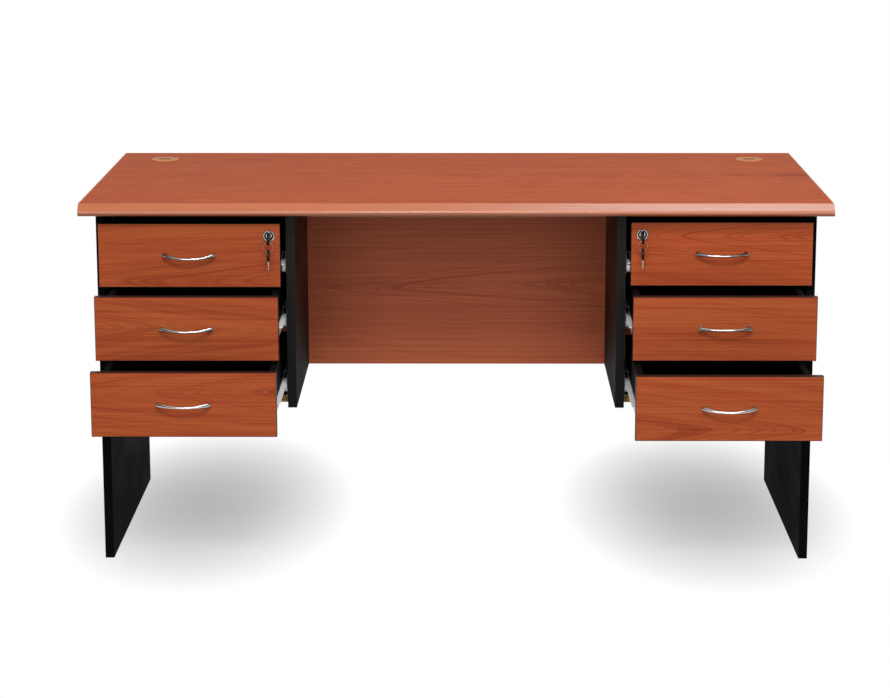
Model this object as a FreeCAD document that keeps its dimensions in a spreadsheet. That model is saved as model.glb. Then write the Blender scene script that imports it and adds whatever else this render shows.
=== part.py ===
"""Double-pedestal office desk: worktop, panels, six drawers on roller runners, locks with keys, grommets.

Frame: X to the right, Y to the back, Z up, in millimetres. Z = 0 is the floor and X = 0 the desk's middle.
Y = 0 lies midway between the worktop's rear edge and the foremost handle, with the drawers as they stand open.
The left half is modelled with its drawers closed. The right half mirrors it, and each drawer is then
placed at its own level and drawn out by its own opening.
"""
import FreeCAD, Part
import os
import re
import Sketcher

Vector = FreeCAD.Vector

# Driving dimensions, in millimetres
SIZES = {
    # Worktop, with a bevelled lipping along its front and thin bands on its other edges
    "desk_width": 1500,
    "desk_depth": 750,
    "desk_height": 750,
    "worktop_thickness": 25,
    "lip_depth": 14,
    "nose_radius": 7,
    "edge_band": 2,
    # Panels that carry the worktop
    "side_overhang": 25.5,
    "front_overhang": 73,
    "board_thickness": 18,
    "panel_depth": 625,
    "pedestal_width": 364,
    "pedestal_height": 405.5,
    "rail_thickness": 16,
    "rail_setback": 50,
    "rail_depth": 80,
    # Cable grommets
    "grommet_end_inset": 102,
    "grommet_rear_inset": 115,
    "flange_radius": 30,
    "flange_rise": 2.5,
    "liner_radius": 26.5,
    "liner_wall": 1.5,
    "liner_length": 22,
    "liner_clearance": 0.15,
    "cap_rim": 3,
    "cap_thickness": 2.2,
    "cap_clearance": 0.35,
    "ledge_width": 2,
    "ledge_thickness": 2,
    "slot_length": 30,
    "slot_width": 12,
    # Corner brackets and wood screws
    "bracket_leg": 40,
    "bracket_sheet": 2,
    "bracket_width": 30,
    "bracket_hole": 26,
    "bracket_front_inset": 110,
    "bracket_rear_inset": 75,
    "screw_radius": 1.75,
    "screw_length": 14,
    "screw_tip": 4,
    "screw_head_radius": 3.5,
    "screw_head": 2.2,
    "hole_clearance": 0.05,
    # Drawer fronts, and how far each drawer stands open
    "front_width": 365,
    "front_height": 129.2,
    "front_thickness": 16,
    "front_band": 1,
    "front_gap": 5.2,
    "front_drop": 20,
    "front_offset": 8.7,
    "opening_left_top": 19,
    "opening_left_middle": 96.5,
    "opening_left_bottom": 181,
    "opening_right_top": 1,
    "opening_right_middle": 93,
    "opening_right_bottom": 210,
    # Drawer boxes
    "box_height": 85,
    "box_drop": 2,
    "top_box_height": 68,
    "top_box_drop": 21,
    "box_length": 390,
    "box_rear_gap": 25,
    "side_thickness": 12,
    "bottom_thickness": 4,
    "bottom_rise": 8,
    "groove_depth": 6,
    "groove_clearance": 0.2,
    # Roller runners of folded sheet
    "runner_space": 12.5,
    "runner_overrun": 10,
    "runner_setback": 2,
    "runner_travel": 300,
    "runner_sheet": 1.2,
    "runner_height": 40,
    "runner_flange": 10,
    "flange_setback": 24,
    "runner_screw_drop": 10,
    "runner_screw_inset": 60,
    "leg_height": 22,
    "leg_clearance": 2.5,
    "lip_gap": 1,
    "roller_radius": 9.5,
    "roller_width": 6.5,
    "roller_gap": 0.3,
    "roller_side_gap": 0.8,
    "roller_inset": 12,
    "pin_radius": 2.5,
    "pin_clearance": 0.06,
    "rivet_radius": 4,
    "rivet_thickness": 1,
    "stop_reach": 5,
    "stop_thickness": 1.5,
    "stop_height": 12,
    # Bow handles
    "handle_pitch": 96,
    "handle_length": 102,
    "handle_bow": 17,
    "handle_tilt": 8.5,
    "handle_rise": 2,
    "handle_radius": 3.2,
    "post_length": 10,
    "post_radius": 4.2,
    "handle_screw_radius": 2,
    "handle_screw_head_radius": 4,
    "handle_screw_head": 2.5,
    "handle_screw_grip": 8,
    # Cam locks on the top drawers
    "lock_inset": 22.5,
    "lock_drop": 24.5,
    "lock_radius": 9,
    "lock_face_radius": 11.5,
    "lock_face": 3,
    "lock_chamfer": 1,
    "lock_rim": 1.2,
    "lock_dish": 1.2,
    "lock_tail": 9,
    "nut_radius": 12.5,
    "nut_thickness": 4,
    "plug_radius": 6,
    "plug_clearance": 0.05,
    "plug_recess": 0.4,
    "cam_length": 30,
    "cam_width": 14,
    "cam_thickness": 2,
    # Keys and the flat ring that joins them
    "key_head_radius": 12.5,
    "key_head_thickness": 5,
    "key_head_drop": 3.5,
    "key_neck": 4,
    "blade_length": 24,
    "blade_width": 8,
    "blade_thickness": 2,
    "blade_clearance": 0.1,
    "key_hole_radius": 2.5,
    "key_hole_offset": 9,
    "ring_radius": 9.5,
    "ring_section": 1.2,
    "ring_gap": 0.6,
    "spare_head_radius": 12,
    "spare_hole_offset": 6.6,
    "spare_blade_length": 19.5,
    "spare_blade_width": 7,
}

# Places and sizes that follow from the driving dimensions
DERIVED = {
    "underside": "desk_height - worktop_thickness",
    "opening_max": "max(opening_left_top; opening_left_middle; opening_left_bottom;"
                   " opening_right_top; opening_right_middle; opening_right_bottom)",
    "handle_projection": "post_length + handle_bow * cos(handle_tilt) + handle_radius",
    "front_reach": "max(0; opening_max + front_thickness + handle_projection - front_overhang)",
    "lip_y": "front_reach - (desk_depth + front_reach) / 2",
    "panel_y": "lip_y + front_overhang",
    "rear_y": "lip_y + desk_depth",
    "core_width": "desk_width - 2 * edge_band",
    "core_depth": "desk_depth - lip_depth - edge_band",
    "end_x": "desk_width / 2 - side_overhang",
    "bay_outer": "end_x - board_thickness",
    "bay_inner": "bay_outer - pedestal_width",
    "bay_middle": "(bay_outer + bay_inner) / 2",
    "pedestal_floor": "underside - pedestal_height",
    "pedestal_depth": "box_length + box_rear_gap",
    "grommet_x": "desk_width / 2 - grommet_end_inset",
    "grommet_y": "rear_y - grommet_rear_inset",
    "cap_radius": "flange_radius - cap_rim",
    "cap_seat": "desk_height + flange_rise - cap_thickness",
    "well_radius": "liner_radius - liner_wall - ledge_width",
    "pilot_radius": "screw_radius + hole_clearance",
    "front_inner": "bay_inner + front_offset",
    "front_outer": "front_inner + front_width",
    "front_middle": "front_inner + front_width / 2",
    "front_top": "underside - front_drop",
    "front_bottom": "front_top - front_height",
    "handle_z": "front_top - front_height / 2 + handle_rise",
    "front_pitch": "front_height + front_gap",
    "face_y": "panel_y - front_thickness",
    "box_floor": "front_top - box_drop - box_height",
    "top_box_floor": "box_floor - top_box_drop",
    "wall_inset": "runner_space + side_thickness",
    "box_inside": "pedestal_width - 2 * wall_inset",
    "groove_height": "bottom_thickness + groove_clearance",
    "runner_y": "panel_y + runner_setback",
    "runner_length": "box_length + runner_overrun",
    "member_length": "box_length - runner_setback",
    "track_height": "2 * (runner_sheet + roller_gap + roller_radius)",
    "lip_low": "track_height + lip_gap",
    "roller_rise": "leg_height - runner_sheet - roller_gap - roller_radius",
    "front_roller_y": "runner_y + roller_inset",
    "rear_roller_y": "runner_y + member_length - roller_inset",
    "stop_y": "rear_roller_y - runner_travel - roller_radius - roller_gap - stop_thickness",
    "pin_length": "roller_side_gap + roller_width + roller_gap + rivet_thickness",
    "leg_start": "runner_space - runner_sheet - leg_clearance",
    "leg_end": "wall_inset - leg_clearance",
    "member_height": "leg_height + runner_sheet",
    "bow_radius": "((handle_length / 2) ^ 2 + handle_bow ^ 2) / (2 * handle_bow)",
    "bow_offset": "bow_radius - handle_bow",
    "post_reach": "post_length + sqrt(bow_radius ^ 2 - (handle_pitch / 2) ^ 2) - bow_offset",
    "lock_x": "front_inner + lock_inset",
    "lock_z": "front_top - lock_drop",
    "lock_depth": "lock_face + front_thickness + lock_tail",
    "lock_face_y": "face_y - lock_face",
    "key_head_y": "lock_face_y - key_neck - key_head_radius",
    "key_head_z": "lock_z - key_head_drop",
    "key_hole_z": "lock_z - key_hole_offset",
    "ring_drop": "key_hole_radius - ring_section / 2 - ring_gap",
    "ring_z": "key_hole_z - ring_drop - ring_radius",
    "spare_hole_z": "ring_z - ring_radius - ring_drop",
    "spare_head_z": "spare_hole_z - spare_hole_offset",
}

LEVELS = ("top", "middle", "bottom")
SIDES = ("left", "right")
ALONG_X = FreeCAD.Rotation(Vector(0, 1, 0), 90)
AGAINST_X = FreeCAD.Rotation(Vector(0, 1, 0), -90)
ALONG_Y = FreeCAD.Rotation(Vector(1, 0, 0), -90)
UPRIGHT = FreeCAD.Rotation()

doc = FreeCAD.newDocument("office_desk")
sheet = doc.addObject("Spreadsheet::Sheet", "Sizes")
nodes = []


# Sizes and formulas

def fill_sheet():
    """Writes every driving dimension into its own cell, with its name as the cell's alias."""
    for row, (name, size) in enumerate(SIZES.items(), start=1):
        sheet.set(f"A{row}", name)
        sheet.set(f"B{row}", str(size))
        sheet.setAlias(f"B{row}", name)
    doc.recompute()


def tied(formula):
    """Rewrites a formula of plain size names as one that reads the sheet's cells."""
    def swap(match):
        name = match.group(0)
        if name in DERIVED:
            return f"({tied(DERIVED[name])})"
        return f"Sizes.{name}" if name in SIZES else name
    return re.sub(r"[a-z][a-z_]*", swap, formula)


def value(formula):
    """Number that a formula of sizes gives now."""
    result = sheet.evalExpression(tied(formula))
    return float(getattr(result, "Value", result))


def bind(thing, formulas):
    """Ties properties of an object to formulas of sizes."""
    for name, formula in formulas.items():
        thing.setExpression(name, tied(formula))
    return thing


def place(thing, x="0", y="0", z="0", turn=UPRIGHT):
    """Puts an object at formulas of sizes, turned by a fixed rotation."""
    thing.Placement = FreeCAD.Placement(Vector(), turn)
    return bind(thing, {"Placement.Base.x": x, "Placement.Base.y": y, "Placement.Base.z": z})


# Primitives, booleans and copies

def box(name, size, corner):
    """Rectangular block with its lowest corner at the given place."""
    thing = bind(doc.addObject("Part::Box", name), dict(zip(("Length", "Width", "Height"), size)))
    return place(thing, *corner)


def rod(name, radius, length, start, turn=UPRIGHT):
    """Cylinder whose axis leaves the start along the turned Z."""
    thing = bind(doc.addObject("Part::Cylinder", name), {"Radius": radius, "Height": length})
    return place(thing, *start, turn)


def group(name, things):
    """Several separate solids held as one object."""
    thing = doc.addObject("Part::Compound", name)
    thing.Links = things
    return thing


def fuse(name, things):
    """Several overlapping solids made into one."""
    thing = doc.addObject("Part::MultiFuse", name)
    thing.Shapes = things
    thing.Refine = True
    return thing


def cut(name, base, tools):
    """Base solid less every tool."""
    thing = doc.addObject("Part::Cut", name)
    thing.Base = base
    thing.Tool = tools[0] if len(tools) == 1 else group(name + "_tools", tools)
    return thing


def mirrored(thing, plane_x="0"):
    """Mirror image of an object in an upright plane across X."""
    other = doc.addObject("Part::Mirroring", thing.Name + "_mirrored")
    other.Source = thing
    other.Normal = Vector(1, 0, 0)
    return bind(other, {"Base.x": plane_x})


def copied(thing, x="0", y="0", z="0", turn=UPRIGHT):
    """Linked copy of an object, turned and then moved."""
    link = doc.addObject("App::Link", thing.Name + "_copy")
    link.LinkedObject = thing
    link.LinkTransform = True
    return place(link, x, y, z, turn)


def keep(label, thing):
    """Names an object as a sub-part of the desk."""
    thing.Label = label
    nodes.append(thing)
    return thing


def keep_both(name, thing):
    """Keeps a left-hand piece and its mirror image on the right."""
    keep("left_" + name, thing)
    keep("right_" + name, mirrored(thing))


# Sketches and features

def sketch_on(body, role, offset="0"):
    """New sketch on one of the body's origin planes, lifted along the plane's normal."""
    sketch = body.newObject("Sketcher::SketchObject", body.Name + "_sketch")
    plane = next(item for item in body.Origin.OriginFeatures if item.Role == role)
    sketch.AttachmentSupport = (plane, [""])
    sketch.MapMode = "FlatFace"
    return bind(sketch, {"AttachmentOffset.Base.z": offset})


def dimension(sketch, kind, target, formula):
    """Adds one dimension to a sketch and ties it to a formula."""
    number = sketch.addConstraint(Sketcher.Constraint(kind, *target, value(formula)))
    bind(sketch, {f"Constraints[{number}]": formula})


def fix_point(sketch, geometry, point, across, up):
    """Dimensions one point of a sketch from the sketch's origin."""
    dimension(sketch, "DistanceX", (-1, 1, geometry, point), across)
    dimension(sketch, "DistanceY", (-1, 1, geometry, point), up)


def draw_outline(sketch, corners):
    """Closed run of straight edges through corners given as pairs of formulas."""
    points = [Vector(value(across), value(up), 0) for across, up in corners]
    count = len(corners)
    for start, end in zip(points, points[1:] + points[:1]):
        sketch.addGeometry(Part.LineSegment(start, end), False)
    for number, (across, up) in enumerate(corners):
        sketch.addConstraint(Sketcher.Constraint("Coincident", (number - 1) % count, 2, number, 1))
        fix_point(sketch, number, 1, across, up)


def draw_circle(sketch, across, up, radius):
    """Circle with its centre and radius given by formulas."""
    shape = Part.Circle(Vector(value(across), value(up), 0), Vector(0, 0, 1), value(radius))
    number = sketch.addGeometry(shape, False)
    fix_point(sketch, number, 3, across, up)
    dimension(sketch, "Radius", (number,), radius)


def rectangle(left, low, right, high):
    """Four corners of an upright rectangle."""
    return [(left, low), (right, low), (right, high), (left, high)]


def padded(name, role, corners, length, forward=True):
    """Body made by padding a straight-edged outline along its plane's normal, or against it."""
    body = doc.addObject("PartDesign::Body", name)
    sketch = sketch_on(body, role)
    draw_outline(sketch, corners)
    feature = body.newObject("PartDesign::Pad", name + "_pad")
    feature.Profile = sketch
    feature.Reversed = not forward
    return bind_feature(body, feature, "Length", length)


def turned(name, corners):
    """Body of revolution about Z through a straight-edged half section."""
    body = doc.addObject("PartDesign::Body", name)
    sketch = sketch_on(body, "XZ_Plane")
    draw_outline(sketch, corners)
    feature = body.newObject("PartDesign::Revolution", name + "_revolution")
    feature.Profile = sketch
    feature.ReferenceAxis = (sketch, ["V_Axis"])
    feature.Angle = 360
    doc.recompute()
    return body


def bind_feature(body, feature, name, formula):
    """Ties a new feature's one size to a formula and builds it."""
    bind(feature, {name: formula})
    doc.recompute()
    return body


def pocketed(body, sketch, depth, along=False):
    """Cuts a sketch into a body, against its plane's normal or along it, and checks that it cut."""
    before = body.Shape.Volume
    feature = body.newObject("PartDesign::Pocket", body.Name + "_pocket")
    feature.Profile = sketch
    feature.Reversed = along
    bind_feature(body, feature, "Length", depth)
    if body.Shape.Volume >= before:
        raise RuntimeError(f"{body.Name}: a pocket cut nothing")
    return body


def drilled(body, role, offset, depth, holes, radius, along=False):
    """Cuts round holes, given as pairs of formulas, into a body from one plane."""
    sketch = sketch_on(body, role, offset)
    for across, up in holes:
        draw_circle(sketch, across, up, radius)
    return pocketed(body, sketch, depth, along)


# Worktop

def bracket_places():
    """Y of each bracket's near edge, as formulas."""
    return ("panel_y + bracket_front_inset", "panel_y + pedestal_depth - bracket_rear_inset")


def make_worktop():
    """Core board with grommet holes and pilot holes, front lipping and edge bands."""
    core = padded("worktop", "XY_Plane", rectangle("0", "0", "core_width", "core_depth"), "worktop_thickness")
    cable_holes = [(f"core_width / 2 {sign} grommet_x", "grommet_y - lip_y - lip_depth") for sign in "-+"]
    drilled(core, "XY_Plane", "0", "worktop_thickness", cable_holes, "liner_radius + liner_clearance", along=True)
    pilots = []
    for sign in "-+":
        for reach in ("(bay_outer - bracket_hole)", "(bay_inner + bracket_hole)"):
            for near in bracket_places():
                pilots.append((f"core_width / 2 {sign} {reach}", f"{near} + bracket_width / 2 - lip_y - lip_depth"))
    drilled(core, "XY_Plane", "0", "screw_length - bracket_sheet + hole_clearance", pilots, "pilot_radius", along=True)
    keep("worktop", place(core, "-core_width / 2", "lip_y + lip_depth", "underside"))
    keep("worktop_front_lipping", make_lipping())
    side_size = ("edge_band", "desk_depth - lip_depth", "worktop_thickness")
    left_band = box("left_band", side_size, ("-desk_width / 2", "lip_y + lip_depth", "underside"))
    rear_size = ("core_width", "edge_band", "worktop_thickness")
    rear_band = box("rear_band", rear_size, ("-core_width / 2", "rear_y - edge_band", "underside"))
    keep("worktop_edge_bands", group("edge_bands", [left_band, mirrored(left_band), rear_band]))


def make_lipping():
    """Front lipping: a bevel falls from the worktop's crease into a rounded nose and a flat underside."""
    body = doc.addObject("PartDesign::Body", "lipping")
    sketch = sketch_on(body, "YZ_Plane")
    depth, height, nose = value("lip_depth"), value("worktop_thickness"), value("nose_radius")
    middle = Vector(nose, nose, 0)
    touch = middle + Vector(-0.74, 0.67, 0) * nose
    sketch.addGeometry(Part.LineSegment(Vector(nose, 0, 0), Vector(depth, 0, 0)), False)
    sketch.addGeometry(Part.LineSegment(Vector(depth, 0, 0), Vector(depth, height, 0)), False)
    sketch.addGeometry(Part.LineSegment(Vector(depth, height, 0), touch), False)
    arc = Part.Arc(touch, Vector(0, nose, 0), Vector(nose, 0, 0))
    sketch.addGeometry(arc, False)
    sketch.addConstraint(Sketcher.Constraint("Coincident", 0, 2, 1, 1))
    sketch.addConstraint(Sketcher.Constraint("Coincident", 1, 2, 2, 1))
    sketch.addConstraint(Sketcher.Constraint("Tangent", 2, 2, 3, 1))
    sketch.addConstraint(Sketcher.Constraint("Tangent", 3, 2, 0, 1))
    fix_point(sketch, 1, 1, "lip_depth", "0")
    fix_point(sketch, 1, 2, "lip_depth", "worktop_thickness")
    fix_point(sketch, 3, 3, "nose_radius", "nose_radius")
    dimension(sketch, "Radius", (3,), "nose_radius")
    feature = body.newObject("PartDesign::Pad", "lipping_pad")
    feature.Profile = sketch
    bind_feature(body, feature, "Length", "desk_width")
    return place(body, "-desk_width / 2", "lip_y", "underside")


# Panels

def panel_holes():
    """Pilot holes of a panel's drawer side: runner screws at three levels, then bracket screws."""
    holes = []
    for floor in ("top_box_floor", "box_floor - front_pitch", "box_floor - 2 * front_pitch"):
        for across in runner_screw_places():
            holes.append((f"{across} - panel_y", f"{runner_screw_height(floor)}"))
    for near in bracket_places():
        holes.append((f"{near} + bracket_width / 2 - panel_y", "underside - bracket_hole"))
    return holes


def make_panels():
    """End panels down to the floor, shorter inner panels, the modesty panel and the front bottom rails."""
    pilot = "screw_length - bracket_sheet + hole_clearance"
    end = padded("left_end_panel", "YZ_Plane", rectangle("0", "0", "panel_depth", "underside"), "board_thickness")
    drilled(end, "YZ_Plane", "board_thickness", pilot, panel_holes(), "pilot_radius")
    keep_both("end_panel", place(end, "-end_x", "panel_y"))
    outline = rectangle("0", "pedestal_floor", "pedestal_depth", "underside")
    inner = padded("left_inner_panel", "YZ_Plane", outline, "board_thickness")
    drilled(inner, "YZ_Plane", "0", pilot, panel_holes(), "pilot_radius", along=True)
    keep_both("inner_panel", place(inner, "-bay_inner", "panel_y"))
    size = ("2 * bay_outer", "board_thickness", "pedestal_height")
    keep("modesty_panel", box("modesty_panel", size, ("-bay_outer", "panel_y + pedestal_depth", "pedestal_floor")))
    size = ("pedestal_width", "rail_depth", "rail_thickness")
    rail = box("left_bottom_rail", size, ("-bay_outer", "panel_y + rail_setback", "pedestal_floor"))
    keep("bottom_rails", group("rails", [rail, mirrored(rail)]))


# Brackets and wood screws

def runner_screw_places():
    """Y of the two screws of a cabinet runner."""
    return ("runner_y + runner_screw_inset", "runner_y + runner_length - runner_screw_inset")


def runner_screw_height(floor):
    """Z of a cabinet runner's screws, for a drawer box whose floor is given."""
    return f"{floor} + leg_height - track_height + runner_height - runner_screw_drop"


def make_bracket():
    """Steel angle with one hole in each leg, its corner up against the worktop and the end panel."""
    corners = [("0", "0"), ("bracket_sheet", "0"), ("bracket_sheet", "bracket_leg - bracket_sheet"),
               ("bracket_leg", "bracket_leg - bracket_sheet"), ("bracket_leg", "bracket_leg"), ("0", "bracket_leg")]
    body = padded("bracket", "XZ_Plane", corners, "bracket_width", forward=False)
    across = [("bracket_width / 2", "bracket_leg - bracket_hole")]
    drilled(body, "YZ_Plane", "0", "bracket_sheet", across, "pilot_radius", along=True)
    upward = [("bracket_hole", "bracket_width / 2")]
    return drilled(body, "XY_Plane", "bracket_leg", "bracket_sheet", upward, "pilot_radius")


def make_screw():
    """Wood screw with a flat head at Z = 0 and its point up."""
    total = "screw_head + screw_length"
    return turned("screw", [("0", "0"), ("screw_head_radius", "0"), ("screw_head_radius", "screw_head"),
                            ("screw_radius", "screw_head"), ("screw_radius", f"{total} - screw_tip"), ("0", total)])


def make_fixings():
    """Brackets under the worktop, and the screws of the brackets and of the cabinet runners."""
    bracket = make_bracket()
    screw = make_screw()
    brackets = []
    screws = []
    for near in bracket_places():
        brackets.append(copied(bracket, "-bay_outer", near, "underside - bracket_leg"))
        middle = f"{near} + bracket_width / 2"
        screws.append(copied(screw, "bracket_hole - bay_outer", middle, "underside - bracket_sheet - screw_head"))
        screws.append(copied(screw, "bracket_sheet + screw_head - bay_outer", middle,
                             "underside - bracket_hole", AGAINST_X))
    for floor in ("top_box_floor", "box_floor - front_pitch", "box_floor - 2 * front_pitch"):
        for along in runner_screw_places():
            screws.append(copied(screw, "runner_sheet + screw_head - bay_outer", along,
                                 runner_screw_height(floor), AGAINST_X))
    for name, pieces in (("corner_brackets", brackets), ("fixing_screws", screws)):
        outer = group(name + "_outer", pieces)
        bay = group(name + "_bay", [outer, mirrored(outer, "-bay_middle")])
        keep(name, group(name + "_all", [bay, mirrored(bay)]))


# Grommets

def make_grommets():
    """Flanged liner in each cable hole, and a turning cap with a cable slot that sits in its flange."""
    low = "desk_height - liner_length"
    seat = "cap_seat - ledge_thickness"
    liner = turned("grommet_liner", [
        ("liner_radius - liner_wall", low), ("liner_radius", low), ("liner_radius", "desk_height"),
        ("flange_radius", "desk_height"), ("flange_radius", "desk_height + flange_rise"),
        ("cap_radius", "desk_height + flange_rise"), ("cap_radius", "cap_seat"), ("well_radius", "cap_seat"),
        ("well_radius", seat), ("liner_radius - liner_wall", seat)])
    place(liner, "-grommet_x", "grommet_y")
    keep("grommet_liners", group("liners", [liner, mirrored(liner)]))
    disc = rod("cap_disc", "cap_radius - cap_clearance", "cap_thickness", ("-grommet_x", "grommet_y", "cap_seat"))
    straight = "slot_length - slot_width"
    slot_floor = "cap_seat - cap_thickness"
    slot_rise = "3 * cap_thickness"
    slot = [box("slot_middle", (straight, "slot_width", slot_rise),
                (f"-grommet_x - ({straight}) / 2", "grommet_y - slot_width / 2", slot_floor))]
    for sign in "-+":
        start = (f"-grommet_x {sign} ({straight}) / 2", "grommet_y", slot_floor)
        slot.append(rod("slot_end", "slot_width / 2", slot_rise, start))
    keep_both("grommet_cap", cut("grommet_cap", disc, [fuse("slot", slot)]))


# Runners

def make_cabinet_rail(kind, floor):
    """Channel screwed to the end panel, with a pin for its front roller and a stop for the drawer's roller.

    The flanges start behind the front roller, so only the web runs on to the front and carries the roller's pin.
    """
    base = f"{floor} + leg_height - track_height"
    corners = [("0", "0"), ("runner_flange", "0"), ("runner_flange", "runner_sheet"),
               ("runner_sheet", "runner_sheet"), ("runner_sheet", "runner_height - runner_sheet"),
               ("runner_flange - runner_sheet", "runner_height - runner_sheet"),
               ("runner_flange - runner_sheet", "lip_low"), ("runner_flange", "lip_low"),
               ("runner_flange", "runner_height"), ("0", "runner_height")]
    channel = padded(f"{kind}_channel", "XZ_Plane", corners, "runner_length", forward=False)
    holes = [(f"{along} - runner_y", "runner_height - runner_screw_drop") for along in runner_screw_places()]
    drilled(channel, "YZ_Plane", "0", "runner_sheet", holes, "pilot_radius", along=True)
    flange_reach = "runner_flange - runner_sheet"
    nose = sketch_on(channel, "XY_Plane")
    draw_outline(nose, rectangle("runner_sheet", "0", f"runner_sheet + {flange_reach}", "flange_setback"))
    pocketed(channel, nose, "runner_height", along=True)
    place(channel, "-bay_outer", "runner_y", base)
    axis = ("front_roller_y", f"{floor} + roller_rise")
    pin = rod(f"{kind}_rail_pin", "pin_radius", "pin_length", ("runner_sheet - bay_outer", *axis), ALONG_X)
    head_x = "runner_sheet + pin_length - rivet_thickness - bay_outer"
    head = rod(f"{kind}_rail_rivet", "rivet_radius", "rivet_thickness", (head_x, *axis), ALONG_X)
    stop = box(f"{kind}_rail_stop", ("stop_reach", "stop_thickness", "stop_height"),
               ("runner_sheet - bay_outer", "stop_y", f"{floor} + roller_rise - stop_height / 2"))
    return fuse(f"{kind}_cabinet_rail", [channel, pin, head, stop])


def make_drawer_rail(kind, floor):
    """Rail under the box side: a leg outwards that rides on the front roller, and a pin for its rear roller."""
    corners = [("leg_start", "0"), ("leg_end", "0"), ("leg_end", "runner_sheet"),
               ("leg_start + runner_sheet", "runner_sheet"), ("leg_start + runner_sheet", "member_height"),
               ("0", "member_height"), ("0", "member_height - runner_sheet"),
               ("leg_start", "member_height - runner_sheet")]
    rail = padded(f"{kind}_member", "XZ_Plane", corners, "member_length", forward=False)
    place(rail, "leg_clearance - bay_outer", "runner_y", f"{floor} - runner_sheet")
    start = ("runner_space - runner_sheet - pin_length - bay_outer", "rear_roller_y", f"{floor} + roller_rise")
    pin = rod(f"{kind}_member_pin", "pin_radius", "pin_length", start, ALONG_X)
    head = rod(f"{kind}_member_rivet", "rivet_radius", "rivet_thickness", start, ALONG_X)
    return fuse(f"{kind}_drawer_rail", [rail, pin, head])


def make_roller(name, start_x, y, floor):
    """Plain roller on a pin across X."""
    start = (f"{start_x} - bay_outer", y, f"{floor} + roller_rise")
    wheel = rod(name + "_wheel", "roller_radius", "roller_width", start, ALONG_X)
    bore = rod(name + "_bore", "pin_radius + pin_clearance", "roller_width", start, ALONG_X)
    return cut(name, wheel, [bore])


def paired(name, thing):
    """A piece on the bay's outer side with its mirror image on the inner side."""
    return group(name, [thing, mirrored(thing, "-bay_middle")])


# Drawers

def make_front(kind, floor, with_lock):
    """Front board, drilled for its handle and lock and grooved for the bottom, with a band round its edges."""
    width, height = "front_width - 2 * front_band", "front_height - 2 * front_band"
    board = padded(f"{kind}_front_board", "XZ_Plane", rectangle("0", "0", width, height), "front_thickness",
                   forward=False)
    middle = "front_height / 2 - front_band + handle_rise"
    holes = [(f"front_width / 2 - front_band {sign} handle_pitch / 2", middle) for sign in "-+"]
    drilled(board, "XZ_Plane", "0", "front_thickness", holes, "handle_screw_radius + hole_clearance")
    if with_lock:
        place_of_lock = [("front_width - front_band - lock_inset", "front_height - front_band - lock_drop")]
        drilled(board, "XZ_Plane", "0", "front_thickness", place_of_lock, "lock_radius + hole_clearance")
    edge = "front_outer - front_band"
    low = f"{floor} + bottom_rise - front_bottom - front_band"
    groove = sketch_on(board, "XZ_Plane", "-front_thickness")
    draw_outline(groove, rectangle(f"{edge} - bay_outer + wall_inset - groove_depth", low,
                                   f"{edge} - bay_inner - wall_inset + groove_depth", f"{low} + groove_height"))
    pocketed(board, groove, "groove_depth", along=True)
    place(board, f"-({edge})", "face_y", "front_bottom + front_band")
    whole = box(f"{kind}_band_outer", ("front_width", "front_thickness", "front_height"),
                ("-front_outer", "face_y", "front_bottom"))
    hollow = box(f"{kind}_band_inner", (width, "front_thickness", height),
                 (f"-({edge})", "face_y", "front_bottom + front_band"))
    return group(f"{kind}_front", [board, cut(f"{kind}_front_band", whole, [hollow])])


def make_box(kind, floor, wall):
    """Drawer box: two grooved sides, a back that stands on the bottom, and the bottom in the grooves."""
    side = box(f"{kind}_side_board", ("side_thickness", "box_length", wall),
               ("runner_space - bay_outer", "panel_y", floor))
    groove = box(f"{kind}_side_groove", ("groove_depth", "box_length", "groove_height"),
                 ("wall_inset - groove_depth - bay_outer", "panel_y", f"{floor} + bottom_rise"))
    sides = paired(f"{kind}_sides", cut(f"{kind}_side", side, [groove]))
    reach = "(groove_depth - groove_clearance)"
    bottom = box(f"{kind}_bottom", (f"box_inside + 2 * {reach}", f"box_length + {reach}", "bottom_thickness"),
                 (f"wall_inset - {reach} - bay_outer", f"panel_y - {reach}", f"{floor} + bottom_rise"))
    back_floor = f"{floor} + bottom_rise + bottom_thickness"
    back = box(f"{kind}_back", ("box_inside", "side_thickness", f"{wall} - bottom_rise - bottom_thickness"),
               ("wall_inset - bay_outer", "panel_y + box_length - side_thickness", back_floor))
    return group(f"{kind}_box", [sides, bottom, back])


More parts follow.
